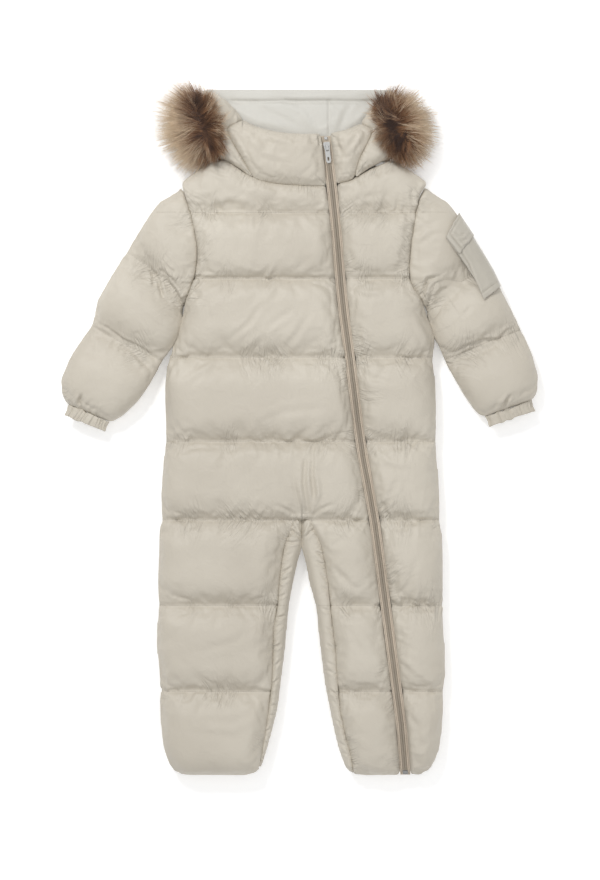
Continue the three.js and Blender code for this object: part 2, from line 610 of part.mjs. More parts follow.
function buildHoodFront(fronts) {
  const opening = zipStrip(ZIP_OPENING, -30, 40, 430, 300);
  const zipPlace = (v, x) => {
    const [a, b] = [seamPoint(CHIN_RIGHT_SEAM, v), seamPoint(CHIN_LEFT_SEAM, v)];
    return (x(mix(331, 397, v)) - a[0]) / (b[0] - a[0]);
  };
  const chin = (name, columns, range, front) => {
    const grid = HOOD_ROWS.map((v) => columns.map((c) => chinPoint(v, mix(...range(v), c))));
    addPiece(name, trimmed(trimmed(wall([grid]), front, 0, NECK_GAP), opening, 0, 0), "shell");
  };
  const overlap = 0.02;
  chin(
    "chin_right", [0, 0.07, 0.2, 0.38, 0.6, 0.8, 0.94, 1], (v) => [0, zipPlace(v, zipRight) + overlap], fronts.right,
  );
  chin("chin_left", [0, 0.3, 0.65, 1], (v) => [zipPlace(v, zipLeft) - overlap, 1], fronts.left);

  const sideShape = (bulge) => ({
    dip: (u, v) => (1 - v) * 3 * Math.sin(Math.PI * u) + v * bulge * Math.sin(Math.PI * u),
    crown: 24, reach: [16, 16, 16, 16], rims: [NECK_RIM, 3, HOOD_RIM, FACE_RIM], bottom: HOOD_FLOOR,
  });
  const columns = [0, 0.12, 0.32, 0.6, 0.85, 1];
  const right = panelPoints(
    HOOD_RIGHT_EDGE, shifted(CHIN_RIGHT_SEAM, -SEAM_GAP * 1.6), columns, HOOD_ROWS, sideShape(11),
  );
  addPiece("hood_side_right", trimmed(wall([right]), fronts.right, 0, NECK_GAP), "shell");
  const left = panelPoints(
    HOOD_LEFT_EDGE, shifted(CHIN_LEFT_SEAM, SEAM_GAP * 1.6), columns, HOOD_ROWS, sideShape(5),
  );
  addPiece("hood_side_left", trimmed(wall([left]), fronts.left, 0, NECK_GAP), "shell");
}

// The hood's back half: the outer shell on the surface and the pale lining over it
const LINING_THICKNESS = 6;
const LINING_SEAM = 444;

function buildHoodBack() {
  const rows = [BACK_NECK + SEAM_GAP, 380, 400, 420, 436, LINING_SEAM, 450, HOOD_TOP - 4, HOOD_TOP];
  const columns = [0, 0.03, 0.1, 0.25, 0.42, 0.58, 0.75, 0.9, 0.97, 1];
  const edge = (line, y) => xAt(line.map((p) => ({ x: p.x, y: Math.min(p.y + 0.01, HOOD_TOP + 1) })), y);
  const grid = (inset, points) =>
    rows.map((row) =>
      columns.map((u) => {
        const x = mix(edge(HOOD_RIGHT_EDGE, row) + inset, edge(HOOD_LEFT_EDGE, row) - inset, u);
        const y = Math.min(row, HOOD_TOP - inset * 0.5);
        const side = Math.min(u, 1 - u) * 245;
        return { x, y, ...points(row, side) };
      }),
    );
  const split = MID - SEAM_GAP / 2 - LINING_THICKNESS;
  const shell = grid(1, (y, side) => {
    const thickness = pillow(split - 2, [
      { distance: side, reach: 20, rim: 0 }, { distance: HOOD_TOP - y, reach: 18, rim: 0 },
    ]);
    return { top: split, bottom: split - 2 - thickness };
  });
  addPiece("hood_back", wall([shell]), "shell");
  const lining = grid(0, (y, side) => {
    const soft = pillow(LINING_THICKNESS - 0.2, [
      { distance: side, reach: 14, rim: 2 }, { distance: HOOD_TOP - y, reach: 8, rim: 2 },
      { distance: Math.abs(y - LINING_SEAM), reach: 12, rim: 3 },
    ]);
    const top = split + SEAM_GAP + Math.min(soft, LINING_THICKNESS - SEAM_GAP);
    return { top, bottom: split + SEAM_GAP };
  });
  addPiece("hood_lining", wall([lining]), "lining");
}

// Zip: tape, closed coil, slider with its pull, and the bottom stop
const TAPE_THICKNESS = 1.2;
const COIL_WIDTH = 5.5;
const COIL_HEIGHT = 1.6;
const ZIP_TOP = 396;
const ZIP_DEPTH = 1.8; // how far the tape lies below the cloth beside it
const SLIDER_Y = 381;
const STOP_WIDTH = 7;
const STOP_HEIGHT = 2.4;
const zipSurface = (y) => MID + SEAM_GAP / 2 + zipRim(Math.min(y, SHOULDER_TIP + 20)) - ZIP_DEPTH;

function zipStrip(width, low, high, fromY, toY) {
  const bends = [430, 396, 377, 346, ...ROWS.map((row) => row.y).filter((y, i) => i % 2 === 0)];
  const ys = [fromY, ...bends.filter((y) => y < fromY - 4 && y > toY + 4), toY];
  const grid = ys.map((y) =>
    [-1, 1].map((side) => ({
      x: xAt(ZIP_LINE, y) + (side * width) / 2, y, top: zipSurface(y) + high, bottom: zipSurface(y) + low,
    })),
  );
  return wall([grid]);
}

function buildZip() {
  addPiece("zip_tape", zipStrip(ZIP_OPENING - 2 * SEAM_GAP, -TAPE_THICKNESS, 0, ZIP_TOP, HEM + 1), "tape");
  addPiece("zip_bottom_stop", zipStrip(STOP_WIDTH, SEAM_GAP, STOP_HEIGHT, HEM + 7, HEM + 2), "metal");
  addPiece("zip_top_stop", zipStrip(STOP_WIDTH - 3, SEAM_GAP, STOP_HEIGHT, ZIP_TOP - 1, ZIP_TOP - 5), "metal");
  addPiece(
    "zip_coil", zipStrip(COIL_WIDTH, SEAM_GAP * 0.75, SEAM_GAP * 0.75 + COIL_HEIGHT, SLIDER_Y - 9, HEM + 8), "tape",
  );
}

// Slider and pull tab, drawn with the zip along -Y and then turned to the zip's slant
const ZIP_SLANT = Math.atan2(xAt(ZIP_LINE, 352) - xAt(ZIP_LINE, 392), 40);
const BAR_HEIGHT = 4.9;
const BAR_RADIUS = 0.7;
const TAB_WIDTH = 6.6;
const TAB_LENGTH = 22;
const TAB_THICKNESS = 1.4;
const TAB_SLOPE = (4.2 * Math.PI) / 180;

function box(x0, x1, y0, y1, z0, z1) {
  const geometry = new THREE.BoxGeometry(x1 - x0, y1 - y0, z1 - z0);
  geometry.translate((x0 + x1) / 2, (y0 + y1) / 2, (z0 + z1) / 2);
  geometry.deleteAttribute("normal");
  geometry.deleteAttribute("uv");
  return mergeVertices(geometry);
}

function plate(outline, thickness, hole) {
  const shape = new THREE.Shape(outline.map(([x, y]) => new THREE.Vector2(x, y)));
  if (hole) shape.holes.push(new THREE.Path(hole.map(([x, y]) => new THREE.Vector2(x, y))));
  const geometry = new THREE.ExtrudeGeometry(shape, { depth: thickness, bevelEnabled: false });
  geometry.deleteAttribute("normal");
  geometry.deleteAttribute("uv");
  return mergeVertices(geometry);
}

function onZip(geometry) {
  geometry.rotateZ(ZIP_SLANT);
  return geometry.translate(xAt(ZIP_LINE, SLIDER_Y), SLIDER_Y, zipSurface(SLIDER_Y));
}

function buildSlider() {
  const body = plate(
    [[-4.5, 5], [-3.4, 6.6], [3.4, 6.6], [4.5, 5], [4.1, 0], [3.2, -5], [-3.2, -5], [-4.1, 0]], 3,
  ).translate(0, 0, SEAM_GAP);
  const arch = [
    box(-1.3, 1.3, -4.6, -3.2, 3, 7), box(-1.3, 1.3, 3.2, 4.6, 3, 7), box(-1.3, 1.3, -4.6, 4.6, 6.1, 7.4),
  ];
  addPiece("zip_slider", onZip(joined([body, ...arch])), "metal");

  const bar = new THREE.CylinderGeometry(BAR_RADIUS, BAR_RADIUS, TAB_WIDTH, 12);
  bar.rotateZ(Math.PI / 2);
  bar.deleteAttribute("normal");
  bar.deleteAttribute("uv");
  const half = TAB_WIDTH / 2;
  const arms = [-1, 1].map((side) =>
    box(Math.min(side * 2, side * half), Math.max(side * 2, side * half), -7, 0, -BAR_RADIUS, BAR_RADIUS),
  );
  const tab = plate(
    [[-half, -6], [half, -6], [half, 2.5 - TAB_LENGTH], [1.8, -TAB_LENGTH], [-1.8, -TAB_LENGTH], [-half, 2.5 - TAB_LENGTH]],
    TAB_THICKNESS,
    [[-1.2, -18.8], [1.2, -18.8], [1.2, -14], [-1.2, -14]],
  ).translate(0, 0, -TAB_THICKNESS / 2);
  const pull = joined([mergeVertices(bar), ...arms, tab]);
  pull.rotateX(TAB_SLOPE);
  pull.translate(0, 0, BAR_HEIGHT);
  addPiece("zip_pull", onZip(pull), "metal");
}

// Pocket on the left sleeve: the sleeve's own points moved out, carried level over the quilting line
const POCKET_BED = LEFT_SLEEVE.map((row, i) => (i >= 2 && i <= 4 ? { ...row, loft: 26 } : row));
const POCKET_WALL = 2;
const POCKET_TURNS = [0, 1, 2, 3].map((step) => step / SLEEVE_TURNS);
const POCKET_LIFT = 0.7;
const FLAP_LIFT = POCKET_LIFT + POCKET_WALL + 0.4;

function sleevePatch(alongs, turns, lift, thickness) {
  const layer = (height) => alongs.map((along) => turns.map((turn) => sleevePoint(POCKET_BED, along, turn, height)));
  const [low, high] = [layer(lift), layer(lift + thickness)];
  // The patch is closed round its rim by running each row over the top and back underneath
  const rings = low.map((row, i) => [...high[i], ...[...row].reverse()]);
  return ringSolid(rings, false);
}

function buildPocket() {
  addPiece("pocket", sleevePatch([1.6, 2.3, 2.8, 3.2, 3.6, 4.1], POCKET_TURNS, POCKET_LIFT, POCKET_WALL), "lightshell");
  addPiece("pocket_flap", sleevePatch([1.6, 1.95, 2.3], POCKET_TURNS, FLAP_LIFT, 1.8), "lightshell");
}

// Fur pompoms on the sides of the hood: a core with tapering locks rooted in it
const LOCKS = 64;
const POMPOM = [
  { name: "pompom_right", x: -141, y: 411, z: 25, side: -1, spread: [61, 65, 33] },
  { name: "pompom_left", x: 145, y: 409, z: 25, side: 1, spread: [51, 59, 33] },
];
const CORE = [23, 24, 17];
const LOCK_RADIUS = 3.2;
const CLOTH_TOP = 51; // locks that reach over the hood stay above this

function lock(root, middle, tip, radius) {
  const ring = (at, from, to, size) => {
    const along = to.clone().sub(from).normalize();
    const side = new THREE.Vector3(0.31, 0.23, 0.92).cross(along).normalize();
    const up = along.clone().cross(side);
    return [0, 1, 2].map((k) => {
      const angle = (k * 2 * Math.PI) / 3;
      return at.clone().addScaledVector(side, Math.cos(angle) * size).addScaledVector(up, Math.sin(angle) * size);
    });
  };
  const rings = [ring(root, root, middle, radius), ring(middle, root, tip, radius * 0.9)];
  const positions = [...rings.flat(), tip].flatMap((p) => [p.x, p.y, p.z]);
  const faces = [0, 2, 1];
  for (let k = 0; k < 3; k++) {
    const d = (k + 1) % 3;
    faces.push(k, d, 3 + d, k, 3 + d, 3 + k, 3 + k, 3 + d, 6);
  }
  const geometry = new THREE.BufferGeometry();
  geometry.setAttribute("position", new THREE.BufferAttribute(new Float32Array(positions), 3));
  geometry.setIndex(faces);
  return facingOut(geometry);
}

function facingOutAt(geometry, centre) {
  geometry.translate(-centre.x, -centre.y, -centre.z);
  facingOut(geometry);
  return geometry.translate(centre.x, centre.y, centre.z);
}

function buildPompom({ name, x, y, z, side, spread }, hood) {
  const core = new THREE.SphereGeometry(1, 12, 8);
  core.deleteAttribute("normal");
  core.deleteAttribute("uv");
  core.scale(...CORE).translate(x, y, z);
  const seat = hood.reduce((piece, next) => trimmed(piece, next, side * SEAM_GAP, 0), mergeVertices(core));
  const centre = new THREE.Vector3(x, y, z);
  const locks = [];
  const golden = Math.PI * (3 - Math.sqrt(5));
  const edge = (height) => Math.abs(xAt(side < 0 ? HOOD_RIGHT_EDGE : HOOD_LEFT_EDGE, height));
  for (let i = 0; locks.length < LOCKS && i < 400; i++) {
    const dz = 1 - (1.42 * (i + 0.5)) / (LOCKS * 1.28);
    if (dz < -0.42) break;
    const flat = Math.sqrt(1 - dz * dz);
    const angle = i * golden;
    const out = new THREE.Vector3(Math.cos(angle) * flat, Math.sin(angle) * flat, dz);
    const reach = 0.86 + 0.14 * Math.sin(i * 2.3);
    const root = centre.clone().add(out.clone().multiply(new THREE.Vector3(...CORE)).multiplyScalar(0.82));
    const tip = centre.clone().add(out.clone().multiply(new THREE.Vector3(...spread)).multiplyScalar(reach));
    tip.z = Math.max(2.5, tip.z - 8 * flat * flat);
    const middle = root.clone().lerp(tip, 0.5).add(new THREE.Vector3(0, 0, 3 * flat));
    const meetsCloth = [middle, tip, root.clone().lerp(middle, 0.5), middle.clone().lerp(tip, 0.5)].some(
      (p) => p.z < CLOTH_TOP && (Math.abs(p.x) < edge(p.y) + 4 || p.y < yAt(FRONT_TOP, p.x) + 5),
    );
    if (!meetsCloth) locks.push(facingOutAt(lock(root, middle, tip, LOCK_RADIUS), middle));
  }
  addPiece(name, joined([seat, ...locks]), "fur");
}

const fronts = buildFronts();
buildGusset("gusset_right", RIGHT_GUSSET_SEAM, RIGHT_INNER_LEG, -1);
buildGusset("gusset_left", LEFT_GUSSET_SEAM, LEFT_INNER_LEG, 1);
const backRight = buildBack("back_right", RIGHT_SIDE, RIGHT_INNER_LEG, -1);
const backLeft = buildBack("back_left", LEFT_SIDE, LEFT_INNER_LEG, 1);
buildSleeve("sleeve_right", RIGHT_SLEEVE, -1, [fronts.right, backRight]);
buildSleeve("sleeve_left", LEFT_SLEEVE, 1, [fronts.left, backLeft]);
buildCuff("cuff_right", RIGHT_SLEEVE);
buildCuff("cuff_left", LEFT_SLEEVE);
buildHoodFront(fronts);
buildHoodBack();
buildZip();
buildSlider();
buildPocket();
const hoodEdges = (side) => ["hood_back", "hood_lining", `hood_side_${side}`].map(
  (name) => snowsuit.getObjectByName(name).geometry,
);
buildPompom(POMPOM[0], hoodEdges("right"));
buildPompom(POMPOM[1], hoodEdges("left"));

export default snowsuit;
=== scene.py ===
import math
import random

import bmesh
import bpy
import numpy as np
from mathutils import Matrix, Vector
from mathutils.bvhtree import BVHTree


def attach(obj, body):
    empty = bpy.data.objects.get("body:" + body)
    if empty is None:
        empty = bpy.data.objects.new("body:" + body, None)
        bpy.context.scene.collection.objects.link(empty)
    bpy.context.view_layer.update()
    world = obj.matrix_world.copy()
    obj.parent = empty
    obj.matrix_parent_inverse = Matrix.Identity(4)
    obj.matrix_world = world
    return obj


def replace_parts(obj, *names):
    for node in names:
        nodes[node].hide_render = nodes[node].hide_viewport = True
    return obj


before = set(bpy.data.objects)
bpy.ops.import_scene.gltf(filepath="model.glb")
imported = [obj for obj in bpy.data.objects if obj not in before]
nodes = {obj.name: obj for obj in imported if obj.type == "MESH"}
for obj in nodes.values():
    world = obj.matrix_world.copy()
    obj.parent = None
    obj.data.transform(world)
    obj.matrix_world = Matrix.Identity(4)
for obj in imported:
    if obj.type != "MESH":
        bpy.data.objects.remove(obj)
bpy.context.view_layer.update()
MM = 0.001
BODY = "garment"

# Shaping of the padded panels: millimetres, shares of one, and counts
FACING_GAIN = 1.6  # how soon the folds fade on the panels' sides
FACING_START = 0.1
SEAM_OVERLAP = 0.8  # how far a panel's upright sides come out to meet the next
SLOW_WAVES = 14  # waves that make up the stuffing's unevenness
ROUNDING_PASSES = 14
ROUNDING_CLEAR = 6  # the strip beside a seam that isn't rounded
HELD_REACH = 6  # the strip beside a seam that the air doesn't lift
AIR_PRESSURE = 4
AIR_FRAMES = 20
MOST_LIFT = 4  # furthest that the air moves a point
FOLD_SPREAD = 26  # how far from the seams the air's folds stay strong
CREASE_BANKS = 0.45  # height of the cloth pushed up beside a crease, as a share of its depth

# Seam lines in millimetres, seen from above
QUILT_Y = [293, 204, 98, -15, -121, -236, -352]
ZIP_MIDDLE = [
    (29, 430), (33, 396), (41, 331), (46.5, 280), (50.5, 235), (54, 193), (58, 155), (64, 111), (69, 73),
    (76, 15), (84, -40), (93, -88), (99.5, -126), (106, -174), (116, -251), (125.5, -324), (135, -396),
    (141, -466),
]
ZIP_HALF = 7.25
ZIP_TOP = 400
TOOTH_PITCH = 1.3
TOOTH_HEIGHT = 1.6
TOOTH_ALONG = 0.95
TOOTH_ACROSS = 2.3
TOOTH_OFF = 1.4  # of each row's middle from the zip's middle
TAPE_STITCHING = (-5.4, -3.1, 3.1, 5.4)  # rows of stitches, from the zip's middle
GUSSET_RIGHT = [
    (0, -121), (-9, -129), (-18, -142), (-24, -168), (-28, -196), (-31, -238), (-36, -263), (-38, -324),
    (-40, -352), (-46, -396), (-52, -434), (-58, -466),
]
GUSSET_LEFT = [
    (2, -121), (14, -129), (23, -142), (30, -168), (35, -196), (39, -238), (42, -263), (48, -312),
    (50, -352), (55, -391), (63, -424), (72, -466),
]
ARMHOLE_RIGHT = [(-161, 332), (-154, 309), (-146, 282), (-138.5, 243), (-140, 220), (-144, 203), (-154, 173)]
ARMHOLE_LEFT = [(171, 332), (160, 315), (153, 283), (147, 247), (145, 217), (149, 194), (163, 173)]
NECK = [
    (-112, 365), (-86, 354), (-66, 338), (-36, 332), (0, 329), (40, 330), (71, 338), (98, 354), (121, 364),
]
SLEEVE_RIGHT_SEAMS = [
    [(-235, 241), (-208, 221), (-198, 212), (-182, 205), (-162, 178), (-157, 170)],
    [(-283, 142), (-262, 129), (-238, 116), (-210, 103), (-187, 94)],
]
SLEEVE_LEFT_SEAMS = [
    [(254, 222), (216, 200), (193, 203), (180, 198), (170, 166)],
    [(297, 136), (275, 127), (245, 116), (215, 103), (194, 95)],
]
CHIN_RIGHT = [(-62, 337), (-77, 363), (-94, 391), (-101, 405), (-78, 418)]
CHIN_LEFT = [(71, 339), (77, 362), (91, 389), (99, 403), (80, 413)]
CUFF_RIGHT = [(-322, 42), (-252, 6)]
CUFF_LEFT = [(244, 14), (318, 48)]
FACE_EDGE = [(-78, 418), (-60, 405), (-30, 399), (0, 397), (33, 397), (60, 403), (80, 413)]

zip_right = [(x - ZIP_HALF, y) for x, y in ZIP_MIDDLE]
zip_left = [(x + ZIP_HALF, y) for x, y in ZIP_MIDDLE]
quilting = [[(-200, y), (200, y)] for y in QUILT_Y]


def seam(points, reach, height, pitch, groove):
    line = np.array(points, float)
    return {"points": line, "reach": reach, "height": height, "pitch": pitch, "groove": groove}


def quilted(lines, height=5.2, reach=24, pitch=13, groove=1.4):
    return [seam(p, reach, height, pitch, groove) for p in lines]


def edges(*lines, height=3.0, reach=14, pitch=10, groove=0):
    return [seam(p, reach, height, pitch, groove) for p in lines]


# Shapes


def add_object(name, bm, material, body=BODY):
    mesh = bpy.data.meshes.new(name)
    bm.to_mesh(mesh)
    bm.free()
    mesh.shade_smooth()
    obj = bpy.data.objects.new(name, mesh)
    bpy.context.scene.collection.objects.link(obj)
    if material:
        mesh.materials.append(material)
    if body:
        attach(obj, body)
    return obj


def fine_copy(node, voxel):
    """The CAD node as an even mesh of small squares."""
    bm = bmesh.new()
    bm.from_mesh(nodes[node].data)
    bmesh.ops.remove_doubles(bm, verts=bm.verts, dist=2e-5)
    bmesh.ops.recalc_face_normals(bm, faces=bm.faces)
    mesh = bpy.data.meshes.new(node + "_fine")
    bm.to_mesh(mesh)
    bm.free()
    obj = bpy.data.objects.new(node + "_fine", mesh)
    bpy.context.scene.collection.objects.link(obj)
    remesh = obj.modifiers.new("even", "REMESH")
    remesh.mode = "VOXEL"
    remesh.voxel_size = voxel
    apply_modifiers(obj)
    return obj


def apply_modifiers(obj):
    graph = bpy.context.evaluated_depsgraph_get()
    made = bpy.data.meshes.new_from_object(obj.evaluated_get(graph))
    old = obj.data
    obj.modifiers.clear()
    obj.data = made
    bpy.data.meshes.remove(old)


def points_of(obj):
    co = np.empty(len(obj.data.vertices) * 3)
    obj.data.vertices.foreach_get("co", co)
    return co.reshape(-1, 3)


def normals_of(obj):
    normal = np.empty(len(obj.data.vertices) * 3)
    obj.data.vertices.foreach_get("normal", normal)
    return normal.reshape(-1, 3)


def upward(normal):
    """How far each point's surface faces up, from 0 to 1."""
    return np.clip(normal[:, 2] * FACING_GAIN + FACING_START, 0, 1)


def move_points(obj, co):
    obj.data.vertices.foreach_set("co", co.ravel())
    obj.data.update()


def nearest(xy, line):
    """Distance from each point to the line, and how far along the line that is, in millimetres."""
    best = np.full(len(xy), 1e9)
    along = np.zeros(len(xy))
    side = np.zeros(len(xy))
    run = 0.0
    for a, b in zip(line[:-1], line[1:]):
        d = b - a
        length = np.hypot(*d)
        t = np.clip(((xy - a) @ d) / length**2, 0, 1)
        off = xy - (a + t[:, None] * d)
        gap = np.hypot(off[:, 0], off[:, 1])
        closer = gap < best
        best = np.where(closer, gap, best)
        along = np.where(closer, run + t * length, along)
        side = np.where(closer, np.sign(off[:, 0] * d[1] - off[:, 1] * d[0]), side)
        run += length
    return best, along, side


def ripple(s, pitch, seed):
    """Uneven waves along a seam: steps of random height, joined smoothly."""
    table = np.random.default_rng(seed).uniform(-1, 1, 400)
    u = s / pitch + 50
    i = np.floor(u).astype(int) % 398
    t = u - np.floor(u)
    t = t * t * (3 - 2 * t)
    return table[i] * (1 - t) + table[i + 1] * t


def folds(s, pitch, seed):
    """Like ripple, but drawn up into narrow crests with wide hollows between."""
    return (1 - np.abs(ripple(s, pitch, seed))) ** 3 - 0.25


def pucker(obj, seams, seed):
    """Raises short irregular folds that run out of the seams and die away in the padding."""
    co = points_of(obj)
    normal = normals_of(obj)
    xy = co[:, :2] / MM
    facing = upward(normal)
    lift = np.zeros(len(co))
    for k, s in enumerate(seams):
        gap, along, side = nearest(xy, s["points"])
        spot = seed + 31 * k
        strong = 0.3 + 1.1 * np.clip(ripple(along, 38, spot + 3), 0, 1)
        lean = side * gap * 0.8 * ripple(along, s["pitch"] * 4, spot)
        for scale, share, depth in ((1.0, 0.8, 1.0), (0.42, 0.45, 0.5)):
            reach = s["reach"] * depth * (0.7 + 0.6 * np.abs(ripple(along, s["pitch"] * 2, spot + 9)))
            near = np.clip(gap / 3.5, 0, 1) * np.exp(-((gap / reach) ** 1.4) * 1.8)
            here = folds(along + lean, s["pitch"] * scale, spot + int(90 * scale))
            there = folds(along + lean, s["pitch"] * scale, spot + 500 + int(90 * scale))
            lift += s["height"] * share * strong * near * np.where(side > 0, here, there)
        lift -= s["groove"] * np.exp(-((gap / 2.2) ** 2))
    move_points(obj, co + normal * (lift * facing * MM)[:, None])


def fold_data(obj, name, seams, strength, seed):
    """Stores the way along the nearest seam, the distance from it and how strong its fine folds are."""
    co = points_of(obj)
    facing = upward(normals_of(obj))
    xy = co[:, :2] / MM
    best = np.full(len(co), 1e9)
    data = np.zeros((len(co), 3))
    for k, s in enumerate(seams):
        gap, along, side = nearest(xy, s["points"])
        spot = seed + 17 * k
        lean = gap * (0.3 + 0.9 * ripple(along, 45, spot))
        cluster = 0.12 + 0.88 * np.clip(ripple(along, 26, spot + 5) * 1.5 + 0.2, 0, 1)
        reach = s["reach"] * (0.3 + 0.55 * cluster)
        near = np.exp(-((gap / reach) ** 1.3)) * cluster * facing * strength
        closer = gap < best
        data[closer] = np.stack([along + lean, side * gap + 400 * k, near], 1)[closer]
        best = np.where(closer, gap, best)
    layer = obj.data.attributes.new(name, "FLOAT_VECTOR", "POINT")
    layer.data.foreach_set("vector", data.ravel())


def crease(obj, lines):
    """Single folds placed one by one: each a line, a half width and a height, or a depth below nought."""
    co = points_of(obj)
    normal = normals_of(obj)
    xy = co[:, :2] / MM
    facing = upward(normal)
    lift = np.zeros(len(co))
    for points, width, height in lines:
        line = np.array(points, float)
        gap, along, side = nearest(xy, line)
        whole = np.hypot(*np.diff(line, axis=0).T).sum()
        ends = np.clip(np.sin(np.clip(along / whole, 0, 1) * np.pi), 0, 1) ** 0.7
        core = np.exp(-((gap / width) ** 2))
        banks = np.exp(-(((gap - 2 * width) / width) ** 2))
        lift += height * ends * (core - CREASE_BANKS * banks)
    move_points(obj, co + normal * (lift * facing * MM)[:, None])


def close_seams(obj):
    """Brings the upright sides of a panel out, so that it meets the next one."""
    co = points_of(obj)
    normal = normals_of(obj)
    upright = np.clip(1.3 - 1.6 * np.abs(normal[:, 2]), 0, 1)
    move_points(obj, co + normal * (upright * SEAM_OVERLAP * MM)[:, None])


def swell(obj, height, grain, seed):
    """Slow unevenness of the stuffing."""
    co = points_of(obj)
    normal = normals_of(obj)
    r = np.random.default_rng(seed)
    lift = np.zeros(len(co))
    for _ in range(SLOW_WAVES):
        direction = r.normal(size=3) / (grain * MM)
        direction[1] *= 1.9
        lift += np.sin(co @ direction + r.uniform(0, 6.3)) / 3.7
    facing = np.clip(normal[:, 2] * 2, 0, 1)
    move_points(obj, co + normal * (lift * facing * height * MM)[:, None])


def inflate(obj, seams, shrink):
    """Lets the cloth fill with air for a moment, held at its seams, so that real folds form."""
    co = points_of(obj)
    xy = co[:, :2] / MM
    held = np.zeros(len(co))
    for s in seams:
        gap = nearest(xy, s["points"])[0]
        held = np.maximum(held, np.clip(1.6 - gap / HELD_REACH, 0, 1))
    held = np.where(normals_of(obj)[:, 2] < 0.15, 1, held)
    group = obj.vertex_groups.new(name="held")
    for level in np.unique(np.round(held, 1)):
        if level > 0:
            group.add([int(i) for i in np.nonzero(np.round(held, 1) == level)[0]], float(level), "REPLACE")
    cloth = obj.modifiers.new("air", "CLOTH")
    settings = cloth.settings
    settings.quality = 5
    settings.mass = 0.25
    settings.use_pressure = True
    settings.uniform_pressure_force = AIR_PRESSURE
    settings.vertex_group_mass = "held"
    settings.pin_stiffness = 1
    settings.shrink_min = shrink
    settings.tension_stiffness = 18
    settings.compression_stiffness = 18
    settings.shear_stiffness = 8
    settings.bending_stiffness = 0.25
    settings.effector_weights.gravity = 0
    cloth.point_cache.frame_start = 1
    cloth.point_cache.frame_end = AIR_FRAMES
    scene = bpy.context.scene
    for number in range(1, AIR_FRAMES + 1):
        scene.frame_set(number)
    apply_modifiers(obj)
    obj.vertex_groups.clear()
    scene.frame_set(1)
    moved = points_of(obj) - co
    far = np.linalg.norm(moved, axis=1)
    closest = np.min([nearest(xy, s["points"])[0] for s in seams], axis=0)
    share = 0.3 + 0.7 * np.exp(-((closest / FOLD_SPREAD) ** 2))
    moved *= (share * np.minimum(1, MOST_LIFT * MM / np.maximum(far, 1e-9)))[:, None]
    move_points(obj, co + moved)


def smooth(obj, times, kept=None):
    """Evens out the surface, apart from the points that are kept."""
    bm = bmesh.new()
    bm.from_mesh(obj.data)
    bm.verts.ensure_lookup_table()
    moving = bm.verts[:] if kept is None else [bm.verts[int(i)] for i in np.nonzero(~kept)[0]]
    for _ in range(times):
        bmesh.ops.smooth_vert(bm, verts=moving, factor=0.5, use_axis_x=True, use_axis_y=True, use_axis_z=True)
    bm.to_mesh(obj.data)
    bm.free()


def round_channels(obj, seams):
    """Rounds the stuffed channels between the seams, which stay where they are."""
    xy = points_of(obj)[:, :2] / MM
    closest = np.min([nearest(xy, s["points"])[0] for s in seams], axis=0)
    smooth(obj, ROUNDING_PASSES, (closest < ROUNDING_CLEAR) | (normals_of(obj)[:, 2] < 0.35))


def padded_panel(node, material, seams, seed, voxel=5, shrink=-0.04, subdivide=True, swelling=0.8,
                 lines=(), fine=1.0):
    """A filled panel: its solid's form, softened, blown up between its seams, then puckered and creased."""
    obj = fine_copy(node, voxel * MM)
    obj.name = node + "_cloth"
    smooth(obj, 1)
    if seams and swelling:
        round_channels(obj, seams)
    swell(obj, swelling, 42, seed)
    if shrink:
        inflate(obj, seams, shrink)
    if subdivide:
        level = obj.modifiers.new("round", "SUBSURF")
        level.levels = level.render_levels = 1
        apply_modifiers(obj)
        close_seams(obj)
    pucker(obj, seams, seed)
    crease(obj, lines)
    if seams:
        fold_data(obj, "quilt_folds", [s for s in seams if s["groove"]] or seams, fine, seed)
        fold_data(obj, "edge_folds", [s for s in seams if not s["groove"]] or seams, fine, seed + 7)
    obj.data.materials.clear()
    obj.data.materials.append(material)
    obj.data.shade_smooth()
    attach(obj, BODY)
    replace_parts(obj, node)
    return obj


# Materials

FOLD_PITCH = 0.16  # fine folds along a seam, per millimetre
FOLD_LENGTH = 0.04  # the same away from it, which draws them out
FOLD_SHARPNESS = 7.0
FOLD_DEPTH = 0.0022


def new_group(name, inputs, outputs):
    group = bpy.data.node_groups.new(name, "ShaderNodeTree")
    for socket, kind, value in inputs:
        made = group.interface.new_socket(socket, in_out="INPUT", socket_type=kind)
        made.default_value = value
    for socket, kind in outputs:
        group.interface.new_socket(socket, in_out="OUTPUT", socket_type=kind)
    return group, group.nodes.new("NodeGroupInput"), group.nodes.new("NodeGroupOutput")


